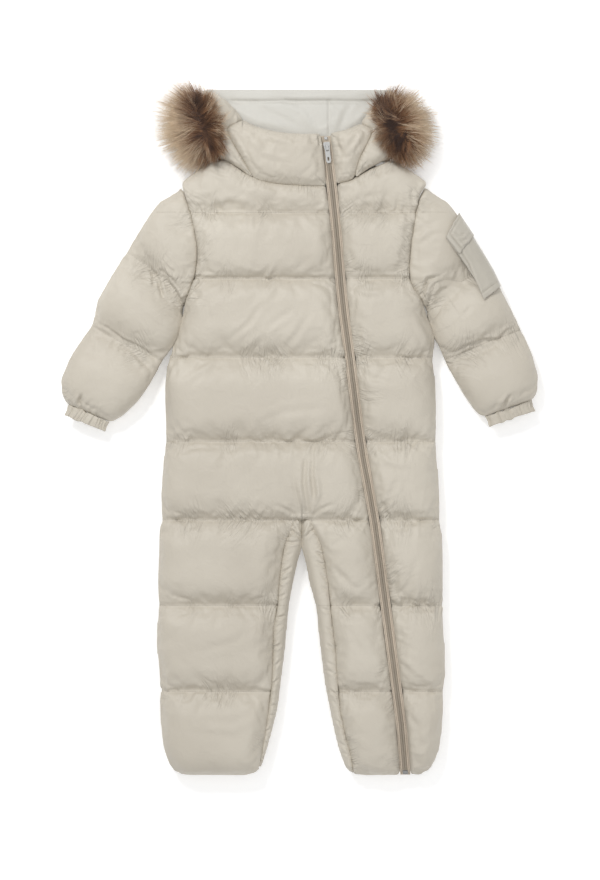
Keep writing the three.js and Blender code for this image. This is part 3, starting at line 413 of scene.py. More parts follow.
def fine_folds(n, link, name, height, normal):
    """Narrow valleys running out of the seams, from the fold data stored on the panel."""
    def math_node(operation, first, second=None, clamp=False):
        made = n.new("ShaderNodeMath")
        made.operation = operation
        made.use_clamp = clamp
        link.new(first, made.inputs[0])
        if second is not None:
            if isinstance(second, (int, float)):
                made.inputs[1].default_value = second
            else:
                link.new(second, made.inputs[1])
        return made.outputs[0]

    data = n.new("ShaderNodeAttribute")
    data.attribute_name = name
    part = n.new("ShaderNodeSeparateXYZ")
    link.new(data.outputs["Vector"], part.inputs[0])
    place = n.new("ShaderNodeCombineXYZ")
    link.new(math_node("MULTIPLY", part.outputs["X"], FOLD_PITCH), place.inputs["X"])
    link.new(math_node("MULTIPLY", part.outputs["Y"], FOLD_LENGTH), place.inputs["Y"])
    noise = n.new("ShaderNodeTexNoise")
    noise.inputs["Scale"].default_value = 1
    noise.inputs["Detail"].default_value = 2
    noise.inputs["Distortion"].default_value = 0.3
    link.new(place.outputs[0], noise.inputs["Vector"])
    away = math_node("ABSOLUTE", math_node("SUBTRACT", noise.outputs["Fac"], 0.5))
    valley = math_node("SUBTRACT", math_node("MULTIPLY", away, FOLD_SHARPNESS, clamp=True), 1.0)
    bump = n.new("ShaderNodeBump")
    bump.inputs["Distance"].default_value = FOLD_DEPTH
    link.new(height, bump.inputs["Strength"])
    link.new(math_node("MULTIPLY", valley, part.outputs["Z"]), bump.inputs["Height"])
    link.new(normal, bump.inputs["Normal"])
    return bump.outputs["Normal"]


def cloth_group():
    """Weave, fine creasing, seam folds and uneven tone, shared by all the cloths."""
    group, given, out = new_group(
        "cloth surface",
        [("Weave Scale", "NodeSocketFloat", 1400.0), ("Weave Height", "NodeSocketFloat", 0.15),
         ("Crease Scale", "NodeSocketFloat", 45.0), ("Crease Height", "NodeSocketFloat", 0.4),
         ("Fold Height", "NodeSocketFloat", 0.6)],
        [("Tone", "NodeSocketFloat"), ("Normal", "NodeSocketVector")],
    )
    n, link = group.nodes, group.links
    place = n.new("ShaderNodeTexCoord")

    def waves(direction):
        wave = n.new("ShaderNodeTexWave")
        wave.wave_type = "BANDS"
        wave.bands_direction = direction
        wave.inputs["Distortion"].default_value = 0.6
        wave.inputs["Detail"].default_value = 1
        link.new(place.outputs["Object"], wave.inputs["Vector"])
        link.new(given.outputs["Weave Scale"], wave.inputs["Scale"])
        return wave.outputs["Fac"]

    weave = n.new("ShaderNodeMath")
    weave.operation = "MULTIPLY"
    link.new(waves("X"), weave.inputs[0])
    link.new(waves("Y"), weave.inputs[1])
    crease = n.new("ShaderNodeTexNoise")
    crease.inputs["Detail"].default_value = 5
    crease.inputs["Roughness"].default_value = 0.55
    crease.inputs["Distortion"].default_value = 0.9
    link.new(place.outputs["Object"], crease.inputs["Vector"])
    link.new(given.outputs["Crease Scale"], crease.inputs["Scale"])
    tone = n.new("ShaderNodeTexNoise")
    tone.inputs["Scale"].default_value = 9
    tone.inputs["Detail"].default_value = 3
    link.new(place.outputs["Object"], tone.inputs["Vector"])
    fine = n.new("ShaderNodeBump")
    fine.inputs["Distance"].default_value = 0.0004
    link.new(given.outputs["Weave Height"], fine.inputs["Strength"])
    link.new(weave.outputs[0], fine.inputs["Height"])
    broad = n.new("ShaderNodeBump")
    broad.inputs["Distance"].default_value = 0.004
    link.new(given.outputs["Crease Height"], broad.inputs["Strength"])
    link.new(crease.outputs["Fac"], broad.inputs["Height"])
    link.new(fine.outputs["Normal"], broad.inputs["Normal"])
    normal = broad.outputs["Normal"]
    for name in ("quilt_folds", "edge_folds"):
        normal = fine_folds(n, link, name, given.outputs["Fold Height"], normal)
    link.new(tone.outputs["Fac"], out.inputs["Tone"])
    link.new(normal, out.inputs["Normal"])
    return group


CLOTH = cloth_group()


def new_material(name):
    material = bpy.data.materials.new(name)
    material.use_nodes = True
    tree = material.node_tree
    return material, tree.nodes, tree.links, tree.nodes["Principled BSDF"]


def cloth_material(name, dark, light, roughness, sheen, weave=(1400, 0.15), crease=(45, 0.35)):
    material, n, link, shader = new_material(name)
    surface = n.new("ShaderNodeGroup")
    surface.node_tree = CLOTH
    surface.inputs["Weave Scale"].default_value, surface.inputs["Weave Height"].default_value = weave
    surface.inputs["Crease Scale"].default_value, surface.inputs["Crease Height"].default_value = crease
    ramp = n.new("ShaderNodeValToRGB")
    ramp.color_ramp.elements[0].position = 0.3
    ramp.color_ramp.elements[1].position = 0.7
    ramp.color_ramp.elements[0].color = (*dark, 1)
    ramp.color_ramp.elements[1].color = (*light, 1)
    link.new(surface.outputs["Tone"], ramp.inputs["Fac"])
    link.new(ramp.outputs["Color"], shader.inputs["Base Color"])
    link.new(surface.outputs["Normal"], shader.inputs["Normal"])
    rough = n.new("ShaderNodeMapRange")
    rough.inputs["To Min"].default_value = roughness - 0.05
    rough.inputs["To Max"].default_value = roughness + 0.06
    link.new(surface.outputs["Tone"], rough.inputs["Value"])
    link.new(rough.outputs["Result"], shader.inputs["Roughness"])
    shader.inputs["Sheen Weight"].default_value = sheen
    shader.inputs["Sheen Roughness"].default_value = 0.4
    return material


def metal_material():
    material, n, link, shader = new_material("nickel")
    place = n.new("ShaderNodeTexCoord")
    noise = n.new("ShaderNodeTexNoise")
    noise.inputs["Scale"].default_value = 700
    link.new(place.outputs["Object"], noise.inputs["Vector"])
    rough = n.new("ShaderNodeMapRange")
    rough.inputs["To Min"].default_value = 0.18
    rough.inputs["To Max"].default_value = 0.34
    link.new(noise.outputs["Fac"], rough.inputs["Value"])
    link.new(rough.outputs["Result"], shader.inputs["Roughness"])
    shader.inputs["Metallic"].default_value = 1
    shader.inputs["Base Color"].default_value = (0.42, 0.42, 0.41, 1)
    return material


def fur_material():
    material, n, link, shader = new_material("fur")
    along = n.new("ShaderNodeAttribute")
    along.attribute_name = "along"
    ramp = n.new("ShaderNodeValToRGB")
    stops = ramp.color_ramp.elements
    stops[0].position, stops[0].color = 0.0, (0.05, 0.02, 0.01, 1)
    stops[1].position, stops[1].color = 1.0, (0.82, 0.68, 0.50, 1)
    middle = stops.new(0.45)
    middle.color = (0.30, 0.15, 0.068, 1)
    link.new(along.outputs["Fac"], ramp.inputs["Fac"])
    place = n.new("ShaderNodeTexCoord")
    noise = n.new("ShaderNodeTexNoise")
    noise.inputs["Scale"].default_value = 90
    link.new(place.outputs["Object"], noise.inputs["Vector"])
    mix = n.new("ShaderNodeMix")
    mix.data_type = "RGBA"
    mix.blend_type = "MULTIPLY"
    mix.inputs["Factor"].default_value = 0.55
    link.new(ramp.outputs["Color"], mix.inputs["A"])
    tint = n.new("ShaderNodeValToRGB")
    tint.color_ramp.elements[0].color = (0.55, 0.5, 0.46, 1)
    tint.color_ramp.elements[1].color = (1.25, 1.2, 1.15, 1)
    link.new(noise.outputs["Fac"], tint.inputs["Fac"])
    link.new(tint.outputs["Color"], mix.inputs["B"])
    link.new(mix.outputs["Result"], shader.inputs["Base Color"])
    shader.inputs["Roughness"].default_value = 0.75
    shader.inputs["Sheen Weight"].default_value = 0.12
    return material


FLAT_CLOTH = (60, 0.05)
shell = cloth_material("shell nylon", (0.515, 0.47, 0.395), (0.575, 0.53, 0.45), 0.5, 0.12)
# The pocket's cloth is the shell nylon made darker: painted shade where the pocket turns away over the side
# of the sleeve
shaded_pocket_nylon = cloth_material("shaded pocket nylon", (0.45, 0.42, 0.36), (0.52, 0.487, 0.42), 0.55, 0.12)
lining_cloth = cloth_material("lining", (0.55, 0.535, 0.49), (0.62, 0.607, 0.56), 0.6, 0.1, crease=(26, 0.5))
tape_cloth = cloth_material("zip tape", (0.56, 0.48, 0.385), (0.62, 0.535, 0.43), 0.8, 0.1,
                            weave=(2200, 0.5), crease=FLAT_CLOTH)
coil_plastic = cloth_material("zip coil", (0.40, 0.345, 0.275), (0.46, 0.40, 0.32), 0.45, 0.0,
                              weave=(900, 0.2), crease=FLAT_CLOTH)
zip_thread = cloth_material("zip thread", (0.20, 0.16, 0.12), (0.25, 0.20, 0.15), 0.7, 0.0,
                            weave=(900, 0.2), crease=FLAT_CLOTH)
thread = cloth_material("thread", (0.40, 0.36, 0.30), (0.46, 0.42, 0.35), 0.8, 0.1,
                        weave=(3000, 0.4), crease=FLAT_CLOTH)
nickel = metal_material()
fur = fur_material()


# Padded pieces

front_seams = quilted(quilting) + edges(GUSSET_RIGHT, GUSSET_LEFT, zip_right, NECK)
front_seams += edges(ARMHOLE_RIGHT, height=4.0, reach=20)
left_seams = quilted(quilting, height=6.4, reach=26, pitch=11)
left_seams += edges(zip_left, height=4.2, reach=24, pitch=12)
left_seams += edges(NECK) + edges(ARMHOLE_LEFT, height=4.0, reach=20)
FRONT_CREASES = [
    ([(6.7, -31), (4, -70), (10.8, -120)], 2.8, -3.0),
    ([(16, -19), (14, -60), (20, -100)], 2.6, -2.4),
    ([(20, -54), (24, -85), (12, -116)], 3.0, 2.2),
    ([(-12, -60), (-6, -88), (2, -116)], 2.6, -1.8),
    ([(-34, -100), (-18, -108), (-4, -118)], 2.4, -1.8),
    ([(44, -98), (28, -106), (12, -118)], 2.4, -1.8),
    ([(-123, 354), (-110, 345), (-98, 340)], 2.6, -2.2),
    ([(-146, 186), (-139, 195), (-132, 205)], 2.0, -3.4),
    ([(-146, 204), (-138, 206), (-128, 214)], 2.2, -1.8),
    ([(-100, 118), (-70, 142), (-52, 170)], 3.5, -1.3),
    ([(-66, 105), (-40, 140), (-8, 165)], 4.0, -1.2),
    ([(-28, 104), (-6, 128), (14, 160)], 4.0, -1.3),
    ([(-88, 104), (-50, 128), (-20, 152)], 4.5, 1.1),
    ([(20, 196), (36, 178), (52, 150)], 4.0, 1.2),
    ([(-60, 8), (-20, 24), (40, 30)], 5.0, -0.9),
    ([(-150, 190), (-128, 170), (-120, 140)], 4.5, -1.1),
    ([(-160, 60), (-140, 78), (-118, 88)], 4.5, 1.1),
    ([(40, -180), (62, -205), (96, -228)], 4.5, -1.1),
    ([(-60, -262), (-90, -285), (-150, -300)], 5.0, -0.8),
    ([(-50, -380), (-90, -402), (-150, -398)], 5.0, 0.8),
    ([(60, -262), (76, -290), (110, -330)], 4.5, -1.0),
    ([(-140, 300), (-100, 312), (-60, 304)], 4.5, 1.0),
]
LEFT_CREASES = [
    ([(80, 354), (98, 359), (117, 363)], 2.4, -2.0),
    ([(146, 222), (138, 232), (128, 238)], 2.4, -1.8),
    ([(62, 196), (88, 184), (112, 186)], 3.6, 1.3),
    ([(70, 90), (92, 70), (126, 62)], 4.0, -1.2),
    ([(96, -22), (120, -44), (150, -48)], 4.0, 1.2),
    ([(104, -112), (118, -92), (132, -60)], 3.6, -1.3),
    ([(122, -228), (146, -206), (156, -170)], 3.8, -1.2),
    ([(130, -300), (150, -318), (178, -342)], 4.0, 1.3),
    ([(140, -372), (156, -400), (160, -430)], 4.0, -1.1),
    ([(150, 150), (166, 120), (172, 104)], 3.6, 1.4),
    ([(58, 296), (80, 312), (120, 318)], 4.0, -1.0),
]
SLEEVE_RIGHT_CREASES = [
    ([(-204, 222), (-199, 207), (-198, 194)], 2.2, -3.2),
    ([(-199, 216), (-190, 196), (-186, 176)], 2.2, -3.0),
    ([(-184, 206), (-170, 188), (-159, 167)], 2.4, -4.6),
    ([(-192, 202), (-180, 184), (-172, 168)], 2.8, 1.8),
    ([(-190, 216), (-174, 202), (-160, 184)], 2.2, -4.0),
    ([(-282, 146), (-262, 138), (-240, 122), (-218, 112), (-190, 92)], 1.8, -1.8),
    ([(-233, 112), (-218, 97), (-204, 83)], 3.0, -1.8),
    ([(-222, 110), (-206, 96), (-196, 82)], 3.0, 1.5),
    ([(-296, 28), (-299, 38), (-294, 50)], 2.0, -3.6),
    ([(-290, 26), (-291, 36), (-284, 46)], 2.2, 1.4),
    ([(-262, 236), (-240, 246), (-214, 240)], 4.5, -1.0),
]
SLEEVE_LEFT_CREASES = [
    ([(163, 180), (170, 203), (190, 207)], 2.2, -4.0),
    ([(178, 186), (190, 194), (200, 196)], 2.6, 1.6),
    ([(196, 84), (214, 98), (236, 100)], 2.6, -1.8),
    ([(226, 112), (244, 122), (252, 132)], 2.8, -1.8),
    ([(236, 106), (256, 118), (264, 128)], 2.8, 1.4),
    ([(190, 103), (205, 104), (221, 113), (248, 121), (267, 123), (277, 134), (294, 141)], 1.8, -2.4),
    ([(271, 28), (276, 40), (282, 48)], 2.0, -3.6),
    ([(262, 26), (268, 38), (276, 44)], 2.2, 1.4),
    ([(160, 250), (176, 262), (196, 264)], 3.6, -1.2),
    ([(230, 168), (222, 158), (214, 152)], 3.2, -1.1),
]
HOOD_RIGHT_CREASES = [
    ([(-116, 362), (-104, 356), (-88, 348)], 2.2, -2.2),
    ([(-98, 404), (-88, 388), (-74, 362)], 2.6, -1.4),
    ([(-112, 372), (-96, 366), (-80, 352)], 2.6, 1.4),
]
CHIN_RIGHT_CREASES = [
    ([(19, 398), (21, 389), (22, 379)], 2.0, 1.3),
    ([(23.5, 398), (25, 390), (26, 382)], 1.8, -1.3),
    ([(12, 397), (14, 390), (15, 383)], 2.0, -1.0),
    ([(-66, 404), (-50, 388), (-20, 380)], 4.0, -1.2),
    ([(-70, 392), (-50, 372), (-14, 362)], 4.0, 1.2),
]
CHIN_LEFT_CREASES = [
    ([(46, 396), (48, 386), (54, 372)], 2.2, -1.3),
    ([(84, 402), (74, 384), (60, 368)], 3.0, 1.2),
]


def fill_out(obj, x, y, by):
    """Brings the side of a piece out near a point, so that sleeve and body touch."""
    co = points_of(obj)
    away = np.hypot(co[:, 0] / MM - x, co[:, 1] / MM - y)
    share = by * MM * np.exp(-((away / 30) ** 2))
    co[:, :2] += normals_of(obj)[:, :2] * share[:, None]
    move_points(obj, co)


def tuck_up(obj):
    """Folds the upper end of an inner-leg strip up under the fronts, in a small knot."""
    co = points_of(obj)
    x, y = co[:, 0] / MM, co[:, 1] / MM
    up = np.clip((y + 152) / 26, 0, 1)
    knot = np.exp(-(((x - 3) / 7) ** 2 + ((y + 140) / 9) ** 2))
    co[:, 1] += up * 9 * MM
    co[:, 2] += (3.5 * knot + 1.5 * up) * np.clip(normals_of(obj)[:, 2] + 0.3, 0, 1) * MM
    move_points(obj, co)


def sleeve_seams(quilt_lines, armhole, cuff_line):
    return quilted(quilt_lines) + edges(armhole, height=4.5, reach=24) + edges(cuff_line, height=3, reach=16)


right_sleeve_seams = sleeve_seams(SLEEVE_RIGHT_SEAMS, ARMHOLE_RIGHT, CUFF_RIGHT)
left_sleeve_seams = sleeve_seams(SLEEVE_LEFT_SEAMS, ARMHOLE_LEFT, CUFF_LEFT)
chin_right_seams = edges(CHIN_RIGHT, NECK, FACE_EDGE, zip_right, height=2.6)
chin_left_seams = edges(CHIN_LEFT, NECK, FACE_EDGE, zip_left, height=2.6)


def slanting_folds(line, side, seed):
    """Folds across an inner-leg strip, uneven in spacing, depth and slant."""
    r = random.Random(seed)
    x_of, y_of = zip(*reversed(line))
    made = []
    y = -146
    while y > -455:
        x = np.interp(y, y_of, x_of)
        end = (x + side * r.uniform(10, 16), y + r.uniform(4, 12))
        made.append(([(x, y), end], 1.8, -r.uniform(0.9, 2.2)))
        y -= r.uniform(9, 30)
    return made


LINING_SEAMS = edges([(-92, 444), (105, 444)], [(38, 444), (38, 400)], height=1.2, reach=12, groove=1.6)
LINING_CREASES = [
    ([(-100, 440), (-60, 418), (-20, 408)], 5.0, 1.6),
    ([(-70, 442), (-30, 424), (10, 404)], 5.0, -1.5),
    ([(-40, 446), (0, 430), (22, 402)], 4.0, 1.2),
    ([(100, 440), (80, 424), (60, 406)], 5.0, 1.6),
    ([(70, 444), (60, 428), (50, 402)], 4.0, -1.3),
    ([(-60, 454), (0, 450), (90, 455)], 3.0, 0.8),
]
KNOT_CREASES = [
    ([(-20, -128), (-10, -138), (2, -146)], 1.8, -2.2), ([(-14, -122), (-6, -130), (0, -142)], 1.8, 1.4),
    ([(24, -128), (14, -136), (5, -146)], 1.8, -2.0), ([(14, -122), (8, -132), (4, -144)], 1.8, 1.4),
    ([(-24, -150), (-12, -152), (-2, -150)], 1.8, -2.0),
]
panels = [
    padded_panel("front_right", shell, front_seams, 1, voxel=4.5, lines=FRONT_CREASES),
    padded_panel("front_left", shell, left_seams, 2, voxel=4.5, lines=LEFT_CREASES),
    padded_panel("gusset_right", shell, edges(GUSSET_RIGHT, reach=10), 3, voxel=2.2, shrink=0,
                 swelling=0.3, lines=slanting_folds(GUSSET_RIGHT, 1, 5), fine=0.45),
    padded_panel("gusset_left", shell, edges(GUSSET_LEFT, reach=10), 4, voxel=2.2, shrink=0,
                 swelling=0.3, lines=slanting_folds(GUSSET_LEFT, -1, 8), fine=0.45),
    padded_panel("sleeve_right", shell, right_sleeve_seams, 5, voxel=4.4,
                 lines=SLEEVE_RIGHT_CREASES),
    padded_panel("sleeve_left", shell, left_sleeve_seams, 6, voxel=4.4,
                 lines=SLEEVE_LEFT_CREASES),
    padded_panel("chin_right", shell, chin_right_seams, 7, voxel=3, fine=0.3,
                 lines=CHIN_RIGHT_CREASES),
    padded_panel("chin_left", shell, chin_left_seams, 8, voxel=3, fine=0.3,
                 lines=CHIN_LEFT_CREASES),
    padded_panel("hood_side_right", shell, edges(CHIN_RIGHT, NECK, height=2.4), 9,
                 voxel=3, fine=0.35, lines=HOOD_RIGHT_CREASES),
    padded_panel("hood_side_left", shell, edges(CHIN_LEFT, NECK, height=2.4), 10,
                 voxel=3, fine=0.35),
    padded_panel("back_right", shell, [], 11, voxel=7, shrink=0, subdivide=False, swelling=0),
    padded_panel("back_left", shell, [], 12, voxel=7, shrink=0, subdivide=False, swelling=0),
    padded_panel("hood_back", shell, [], 13, voxel=6, shrink=0, subdivide=False, swelling=0),
    padded_panel("hood_lining", lining_cloth, LINING_SEAMS, 14, voxel=3, shrink=0, swelling=0.4,
                 lines=LINING_CREASES, fine=0.12),
]
front_right, front_left, *strips = panels[:4]
sleeve_right, sleeve_left = panels[4:6]
fill_out(front_right, -164, 142, 3.6)
fill_out(sleeve_right, -172, 142, 4.4)
fill_out(front_left, 171, 136, 3.0)
fill_out(sleeve_left, 178, 136, 4.0)
for strip in strips:
    tuck_up(strip)
    crease(strip, KNOT_CREASES)


# Stitching and zip teeth


def tree_of(obj):
    mesh = obj.data
    return BVHTree.FromPolygons([v.co[:] for v in mesh.vertices], [p.vertices[:] for p in mesh.polygons])


ABOVE_ALL = 0.2
DOWN = Vector((0, 0, -1))


def height_at(trees, x, y):
    """Height of the highest of these surfaces at a place, or nothing beside them."""
    hits = [tree.ray_cast(Vector((x, y, ABOVE_ALL)), DOWN)[0] for tree in trees]
    return max((hit.z for hit in hits if hit), default=None)


def even_points(line, pitch):
    """Points a pitch apart along a line, each with its direction."""
    made = []
    left_over = 0.0
    for a, b in zip(line[:-1], line[1:]):
        a, b = Vector(a), Vector(b)
        length = (b - a).length
        at = left_over
        while at < length:
            made.append((a + (b - a) * (at / length), (b - a).normalized()))
            at += pitch
        left_over = at - length
    return made


def add_bar(bm, centre, along, across, length, width, height):
    """A small four-sided bar lying along a direction."""
    up = along.cross(across).normalized()
    made = bmesh.ops.create_cube(bm, size=1)
    for v in made["verts"]:
        v.co = centre + along * (v.co.x * length) + across * (v.co.y * width) + up * (v.co.z * height)


STITCH_SHARE = 0.72  # of the pitch, the rest being the gap to the next stitch
STITCH_HEIGHT = 0.4


def stitches(name, lines, trees, material, pitch=3.4, width=0.5, inset=0.1, only=None):
    bm = bmesh.new()
    for line in lines:
        for at, way in even_points(line, pitch):
            x, y = at.x * MM, at.y * MM
            ahead = Vector((way.x, way.y)) * 1.2 * MM
            z = height_at(trees, x, y)
            front = height_at(trees, x + ahead.x, y + ahead.y)
            behind = height_at(trees, x - ahead.x, y - ahead.y)
            if None in (z, front, behind) or (only and not only(at.x, at.y)):
                continue
            along = Vector((ahead.x * 2, ahead.y * 2, front - behind)).normalized()
            across = Vector((-way.y, way.x, 0))
            place = Vector((x, y, z - inset * MM))
            add_bar(bm, place, along, across, pitch * STITCH_SHARE * MM, width * MM, STITCH_HEIGHT * MM)
    return add_object(name, bm, material)


panel_trees = [tree_of(o) for o in panels]
sleeve_trees = panel_trees[4:6]
BODY_HALF = 196
SHOULDERS = 270


def on_body(x, y):
    """True where a quilting line isn't on a sleeve."""
    return abs(x) < BODY_HALF and not (y < SHOULDERS and height_at(sleeve_trees, x * MM, y * MM))


stitches("quilting_stitches", quilting, panel_trees, thread, only=on_body)
stitches("sleeve_stitches", SLEEVE_RIGHT_SEAMS + SLEEVE_LEFT_SEAMS, sleeve_trees, thread)
tape_tree = [tree_of(nodes["zip_tape"])]
shown_zip = [(x, y) for x, y in ZIP_MIDDLE if y < ZIP_TOP]
tape_lines = [[(x + off, y) for x, y in shown_zip] for off in TAPE_STITCHING]
stitches("tape_stitches", tape_lines, tape_tree, zip_thread, pitch=2.2, width=0.45, inset=-0.05)


def zip_teeth():
    coil_tree = [tree_of(nodes["zip_coil"])]
    bm = bmesh.new()
    for at, way in even_points(shown_zip, TOOTH_PITCH):
        z = height_at(coil_tree, at.x * MM, at.y * MM)
        if z is None:
            continue
        along = Vector((way.x, way.y, 0))
        across = Vector((-way.y, way.x, 0))
        for side in (-1, 1):
            middle = Vector((at.x * MM, at.y * MM, z - TOOTH_HEIGHT / 2 * MM))
            centre = middle + across * (side * TOOTH_OFF * MM)
            add_bar(bm, centre, along, across, TOOTH_ALONG * MM, TOOTH_ACROSS * MM, TOOTH_HEIGHT * MM)
    teeth = add_object("zip_coil_teeth", bm, coil_plastic)
    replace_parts(teeth, "zip_coil")


zip_teeth()


# Thin cloths

GATHER_PITCH = 4.2
GATHER_HEIGHT = 2.3
FINE_GATHER_PITCH = 2.4
FINE_GATHER_HEIGHT = 1.1
CUFF_EDGE_WAVE = 1.3  # how far the cuff's edge wanders


def thin_cloth(node, voxel, material):
    """A thin piece on its solid's form, remeshed evenly and smoothed."""
    obj = fine_copy(node, voxel * MM)
    obj.name = node + "_cloth"
    smooth(obj, 2)
    obj.data.materials.clear()
    obj.data.materials.append(material)
    obj.data.shade_smooth()
    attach(obj, BODY)
    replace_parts(obj, node)
    return obj


def cuff(node, line, seed):
    """An elastic cuff: a thin band drawn up into many small gathers."""
    obj = thin_cloth(node, 0.9, shell)
    co = points_of(obj)
    normal = normals_of(obj)
    way = np.array(line[1], float) - np.array(line[0], float)
    way /= np.hypot(*way)
    gap, along, side = nearest(co[:, :2] / MM, np.array(line, float))
    lean = side * gap * 0.3 * ripple(along, 20, seed)
    lift = GATHER_HEIGHT * folds(along + lean, GATHER_PITCH, seed)
    lift += FINE_GATHER_HEIGHT * folds(along - lean, FINE_GATHER_PITCH, seed + 1)
    facing = np.clip(np.abs(normal[:, 2]) * 1.5, 0, 1) * np.sign(normal[:, 2])
    inside = np.clip((along - 1) / 4, 0, 1)
    move = np.zeros_like(co)
    move[:, 2] = lift * facing * inside * MM
    outer = np.clip(side * gap / 7, -1, 1)
    wavy = outer * CUFF_EDGE_WAVE * ripple(along, 6, seed + 2) * inside
    move[:, :2] += wavy[:, None] * np.array([-way[1], way[0]]) * MM
    move_points(obj, co + move)
    return obj


def pocket_piece(node, lines, soft_folds=()):
    """A flat piece of the pocket, pressed in along its stitched line and softly uneven."""
    # the pocket's nylon is the shell's, darkened with painted shade
    obj = thin_cloth(node, 1.1, shaded_pocket_nylon)
    swell(obj, 0.7, 22, 31)
    crease(obj, list(lines) + list(soft_folds))
    stitches(node + "_stitches", [points for points, _, _ in lines], [tree_of(obj)], thread,
             pitch=2.8, width=0.5, inset=0)
    return obj


POCKET_LINES = [([(203.6, 257), (225.6, 223.4), (241, 182), (264, 200)], 1.6, -1.1)]
FLAP_LINES = [([(214, 287), (200, 264), (218, 241), (232, 262)], 1.6, -1.1)]
FLAP_FOLDS = [
    ([(203, 268), (214, 262), (226, 262)], 2.0, -1.0),
    ([(208, 256), (218, 258), (228, 268)], 2.0, 0.9),
    ([(214, 246), (222, 252), (230, 254)], 1.8, 0.9),
]
cuff("cuff_right", [(-321, 28), (-258, -2)], 41)
cuff("cuff_left", [(248, 5), (317, 35)], 47)
pocket_piece("pocket", POCKET_LINES)
pocket_piece("pocket_flap", FLAP_LINES, FLAP_FOLDS)


# The zip and its metal keep the solids' form

def shown_as_made(node, material):
    nodes[node].data.materials.clear()
    nodes[node].data.materials.append(material)


for node, material in {
    "zip_tape": tape_cloth, "zip_top_stop": nickel, "zip_bottom_stop": nickel,
    "zip_slider": nickel, "zip_pull": nickel,
}.items():
    shown_as_made(node, material)


# Fur

HAIR_STEPS = 3
HAIR_FLOOR = 0.0012
HAIR_TOP = 0.06
HAIR_WIDTH = (0.24, 0.42)
HAIR_DROOP = (6, 24)
TUFT = 14  # hairs that share a root and a direction
INWARD_SHARE = 0.3  # tufts that lie back over the hood
INWARD_ROOT = 0.047
INWARD_TIP = 0.052
DARK_ROOTS = 4  # distance from the streak where the hair starts to pale
PALE_TIPS = 27  # and how much further out it is fully pale


def strand(bm, layer, root, tip, droop, width):
    """One hair: three sides, tapering and bending towards its tip."""
    straight = tip - root
    side = straight.cross(Vector((0.2, 0.4, 0.9))).normalized()
    up = straight.cross(side).normalized()
    rings = []
    for k in range(HAIR_STEPS + 1):
        t = k / HAIR_STEPS
        at = root + straight * t + Vector((0, 0, -droop * t * t))
        at.z = max(at.z, HAIR_FLOOR)
        size = width * (1 - t) ** 0.7
        if k == HAIR_STEPS:
            vert = bm.verts.new(at)
            vert[layer] = 1.0
            rings.append([vert] * 3)
            continue
        ring = []
        for j in range(3):
            a = j * 2 * math.pi / 3
            vert = bm.verts.new(at + side * (math.cos(a) * size) + up * (math.sin(a) * size))
            vert[layer] = t
            ring.append(vert)
        rings.append(ring)
    for a, b in zip(rings[:-1], rings[1:]):
        for j in range(3):
            face = [a[j], a[(j + 1) % 3], b[(j + 1) % 3], b[j]]
            bm.faces.new(list(dict.fromkeys(face)))
    return [v for ring in rings[:-1] for v in ring] + [rings[-1][0]]


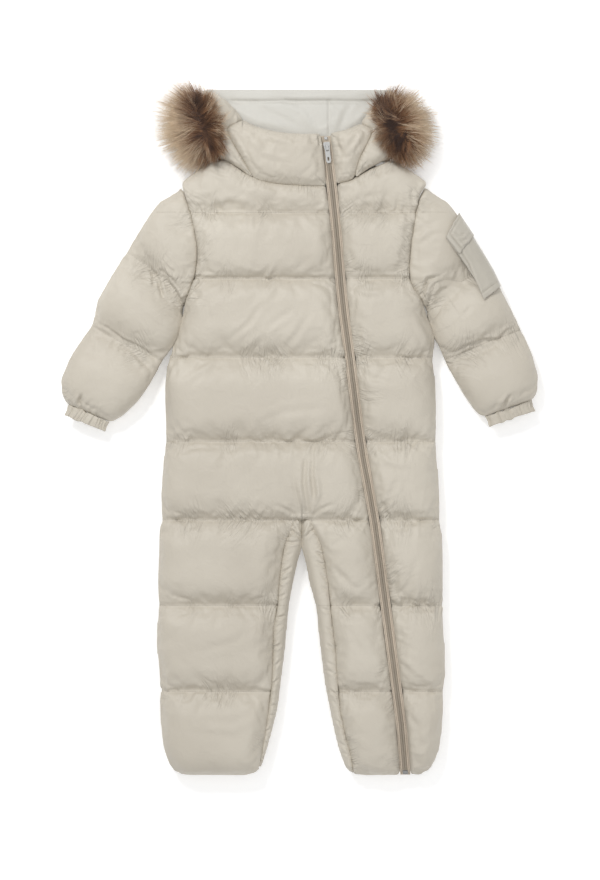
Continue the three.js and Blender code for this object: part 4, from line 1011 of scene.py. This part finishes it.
def pompom(node, streak, side, reach, count, dark, seed):
    """Fur rooted in a dark streak at the hood's edge, fanning outwards and round its two ends."""
    r = random.Random(seed)
    bm = bmesh.new()
    layer = bm.verts.layers.float.new("along")
    top, low = (Vector((*p, 0)) * MM for p in streak)
    axis = (low - top).normalized()
    for number in range(count):
        if number % TUFT == 0:
            u = r.random()
            tuft_fan = (u - 0.5) * 2.8 + r.gauss(0, 0.4)
            inward = r.random() < INWARD_SHARE
            spread = Vector((r.gauss(0, 5), r.gauss(0, 3), r.uniform(14, 46)))
            tuft_root = top.lerp(low, 0.1 + 0.8 * u) + spread * MM
            tuft_long = r.uniform(0.72, 1.0)
            tuft_lift = r.uniform(0.3, 1.0) if inward else r.uniform(0.0, 0.5)
            tuft_tone = r.gauss(-dark, 0.2)
        root = tuft_root + Vector((r.gauss(0, 1.6), r.gauss(0, 1.6), r.gauss(0, 1.6))) * MM
        fan = tuft_fan + r.gauss(0, 0.14)
        flat = Vector((side * math.cos(fan), -math.sin(fan), 0))
        if inward:
            flat = Vector((-side * abs(math.cos(fan)), -math.sin(fan) * 1.4, 0))
        outward = max(0.0, math.cos(fan)) ** 0.8
        ends = 0.3 if fan < 0 else 0.44
        stretch = 0.45 if inward else ends + (1 - ends) * outward
        long = tuft_long * r.uniform(0.75, 1.05) * reach * stretch
        tip = root + (flat + Vector((0, 0, tuft_lift + r.gauss(0, 0.06)))).normalized() * long * MM
        tip.z = min(tip.z, HAIR_TOP)
        if inward:
            root.z = INWARD_ROOT
            tip.z = max(tip.z, INWARD_TIP)
        droop = 0 if inward else r.uniform(*HAIR_DROOP)
        hair = strand(bm, layer, root, tip, droop * MM, r.uniform(*HAIR_WIDTH) * MM)
        tone = tuft_tone + r.gauss(0, 0.08)
        for v in hair:
            off = v.co - top
            along = max(0.0, min((low - top).length, off.dot(axis)))
            away = (Vector((off.x, off.y, 0)) - axis * along).length / MM
            pale = (away - DARK_ROOTS) / PALE_TIPS * 0.7 + v[layer] * 0.32 + tone
            v[layer] = max(0.0, min(1.0, pale))
    bmesh.ops.recalc_face_normals(bm, faces=bm.faces)
    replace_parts(add_object(node + "_fur", bm, fur), node)


pompom("pompom_right", [(-138, 440), (-117, 376)], -1, 80, 7500, 0.0, 21)
pompom("pompom_left", [(111, 438), (132, 378)], 1, 74, 7500, 0.1, 22)


# Floor, light and camera


def floor():
    bm = bmesh.new()
    bmesh.ops.create_grid(bm, x_segments=1, y_segments=1, size=6)
    material, n, link, shader = new_material("pale floor")
    shader.inputs["Base Color"].default_value = (0.98, 0.98, 0.98, 1)
    shader.inputs["Roughness"].default_value = 0.9
    shader.inputs["Emission Color"].default_value = (1, 1, 1, 1)
    shader.inputs["Emission Strength"].default_value = 0.22
    ground = add_object("floor", bm, material, None)
    ground.location.z = -0.0004


def area_light(name, place, size, power):
    light = bpy.data.lights.new(name, "AREA")
    light.shape = "DISK"
    light.size = size
    light.energy = power
    lamp = bpy.data.objects.new(name, light)
    lamp.location = place
    lamp.rotation_euler = (-Vector(place)).to_track_quat("-Z", "Y").to_euler()
    bpy.context.scene.collection.objects.link(lamp)


floor()
area_light("key", (-0.9, 1.7, 2.1), 0.7, 37)
area_light("fill", (1.3, -1.5, 2.5), 2.5, 17)
area_light("above", (0, 0, 3.3), 3.0, 19)

world = bpy.data.worlds.new("studio")
world.use_nodes = True
world.node_tree.nodes["Background"].inputs["Color"].default_value = (1, 1, 1, 1)
world.node_tree.nodes["Background"].inputs["Strength"].default_value = 0.5
bpy.context.scene.world = world
bpy.context.scene.view_settings.view_transform = "Standard"

CAMERA_HEIGHT = 3.6
PIXEL = 1.35 * MM
FRAME_HEIGHT = 880 * PIXEL
MIDDLE_HEIGHT = 0.022  # height at which the picture's scale holds
lens = bpy.data.cameras.new("camera")
lens.sensor_width = 36
lens.lens = lens.sensor_width * (CAMERA_HEIGHT - MIDDLE_HEIGHT) / FRAME_HEIGHT
camera = bpy.data.objects.new("camera", lens)
camera.location = (-PIXEL, -10 * PIXEL, CAMERA_HEIGHT)
bpy.context.scene.collection.objects.link(camera)
bpy.context.scene.camera = camera
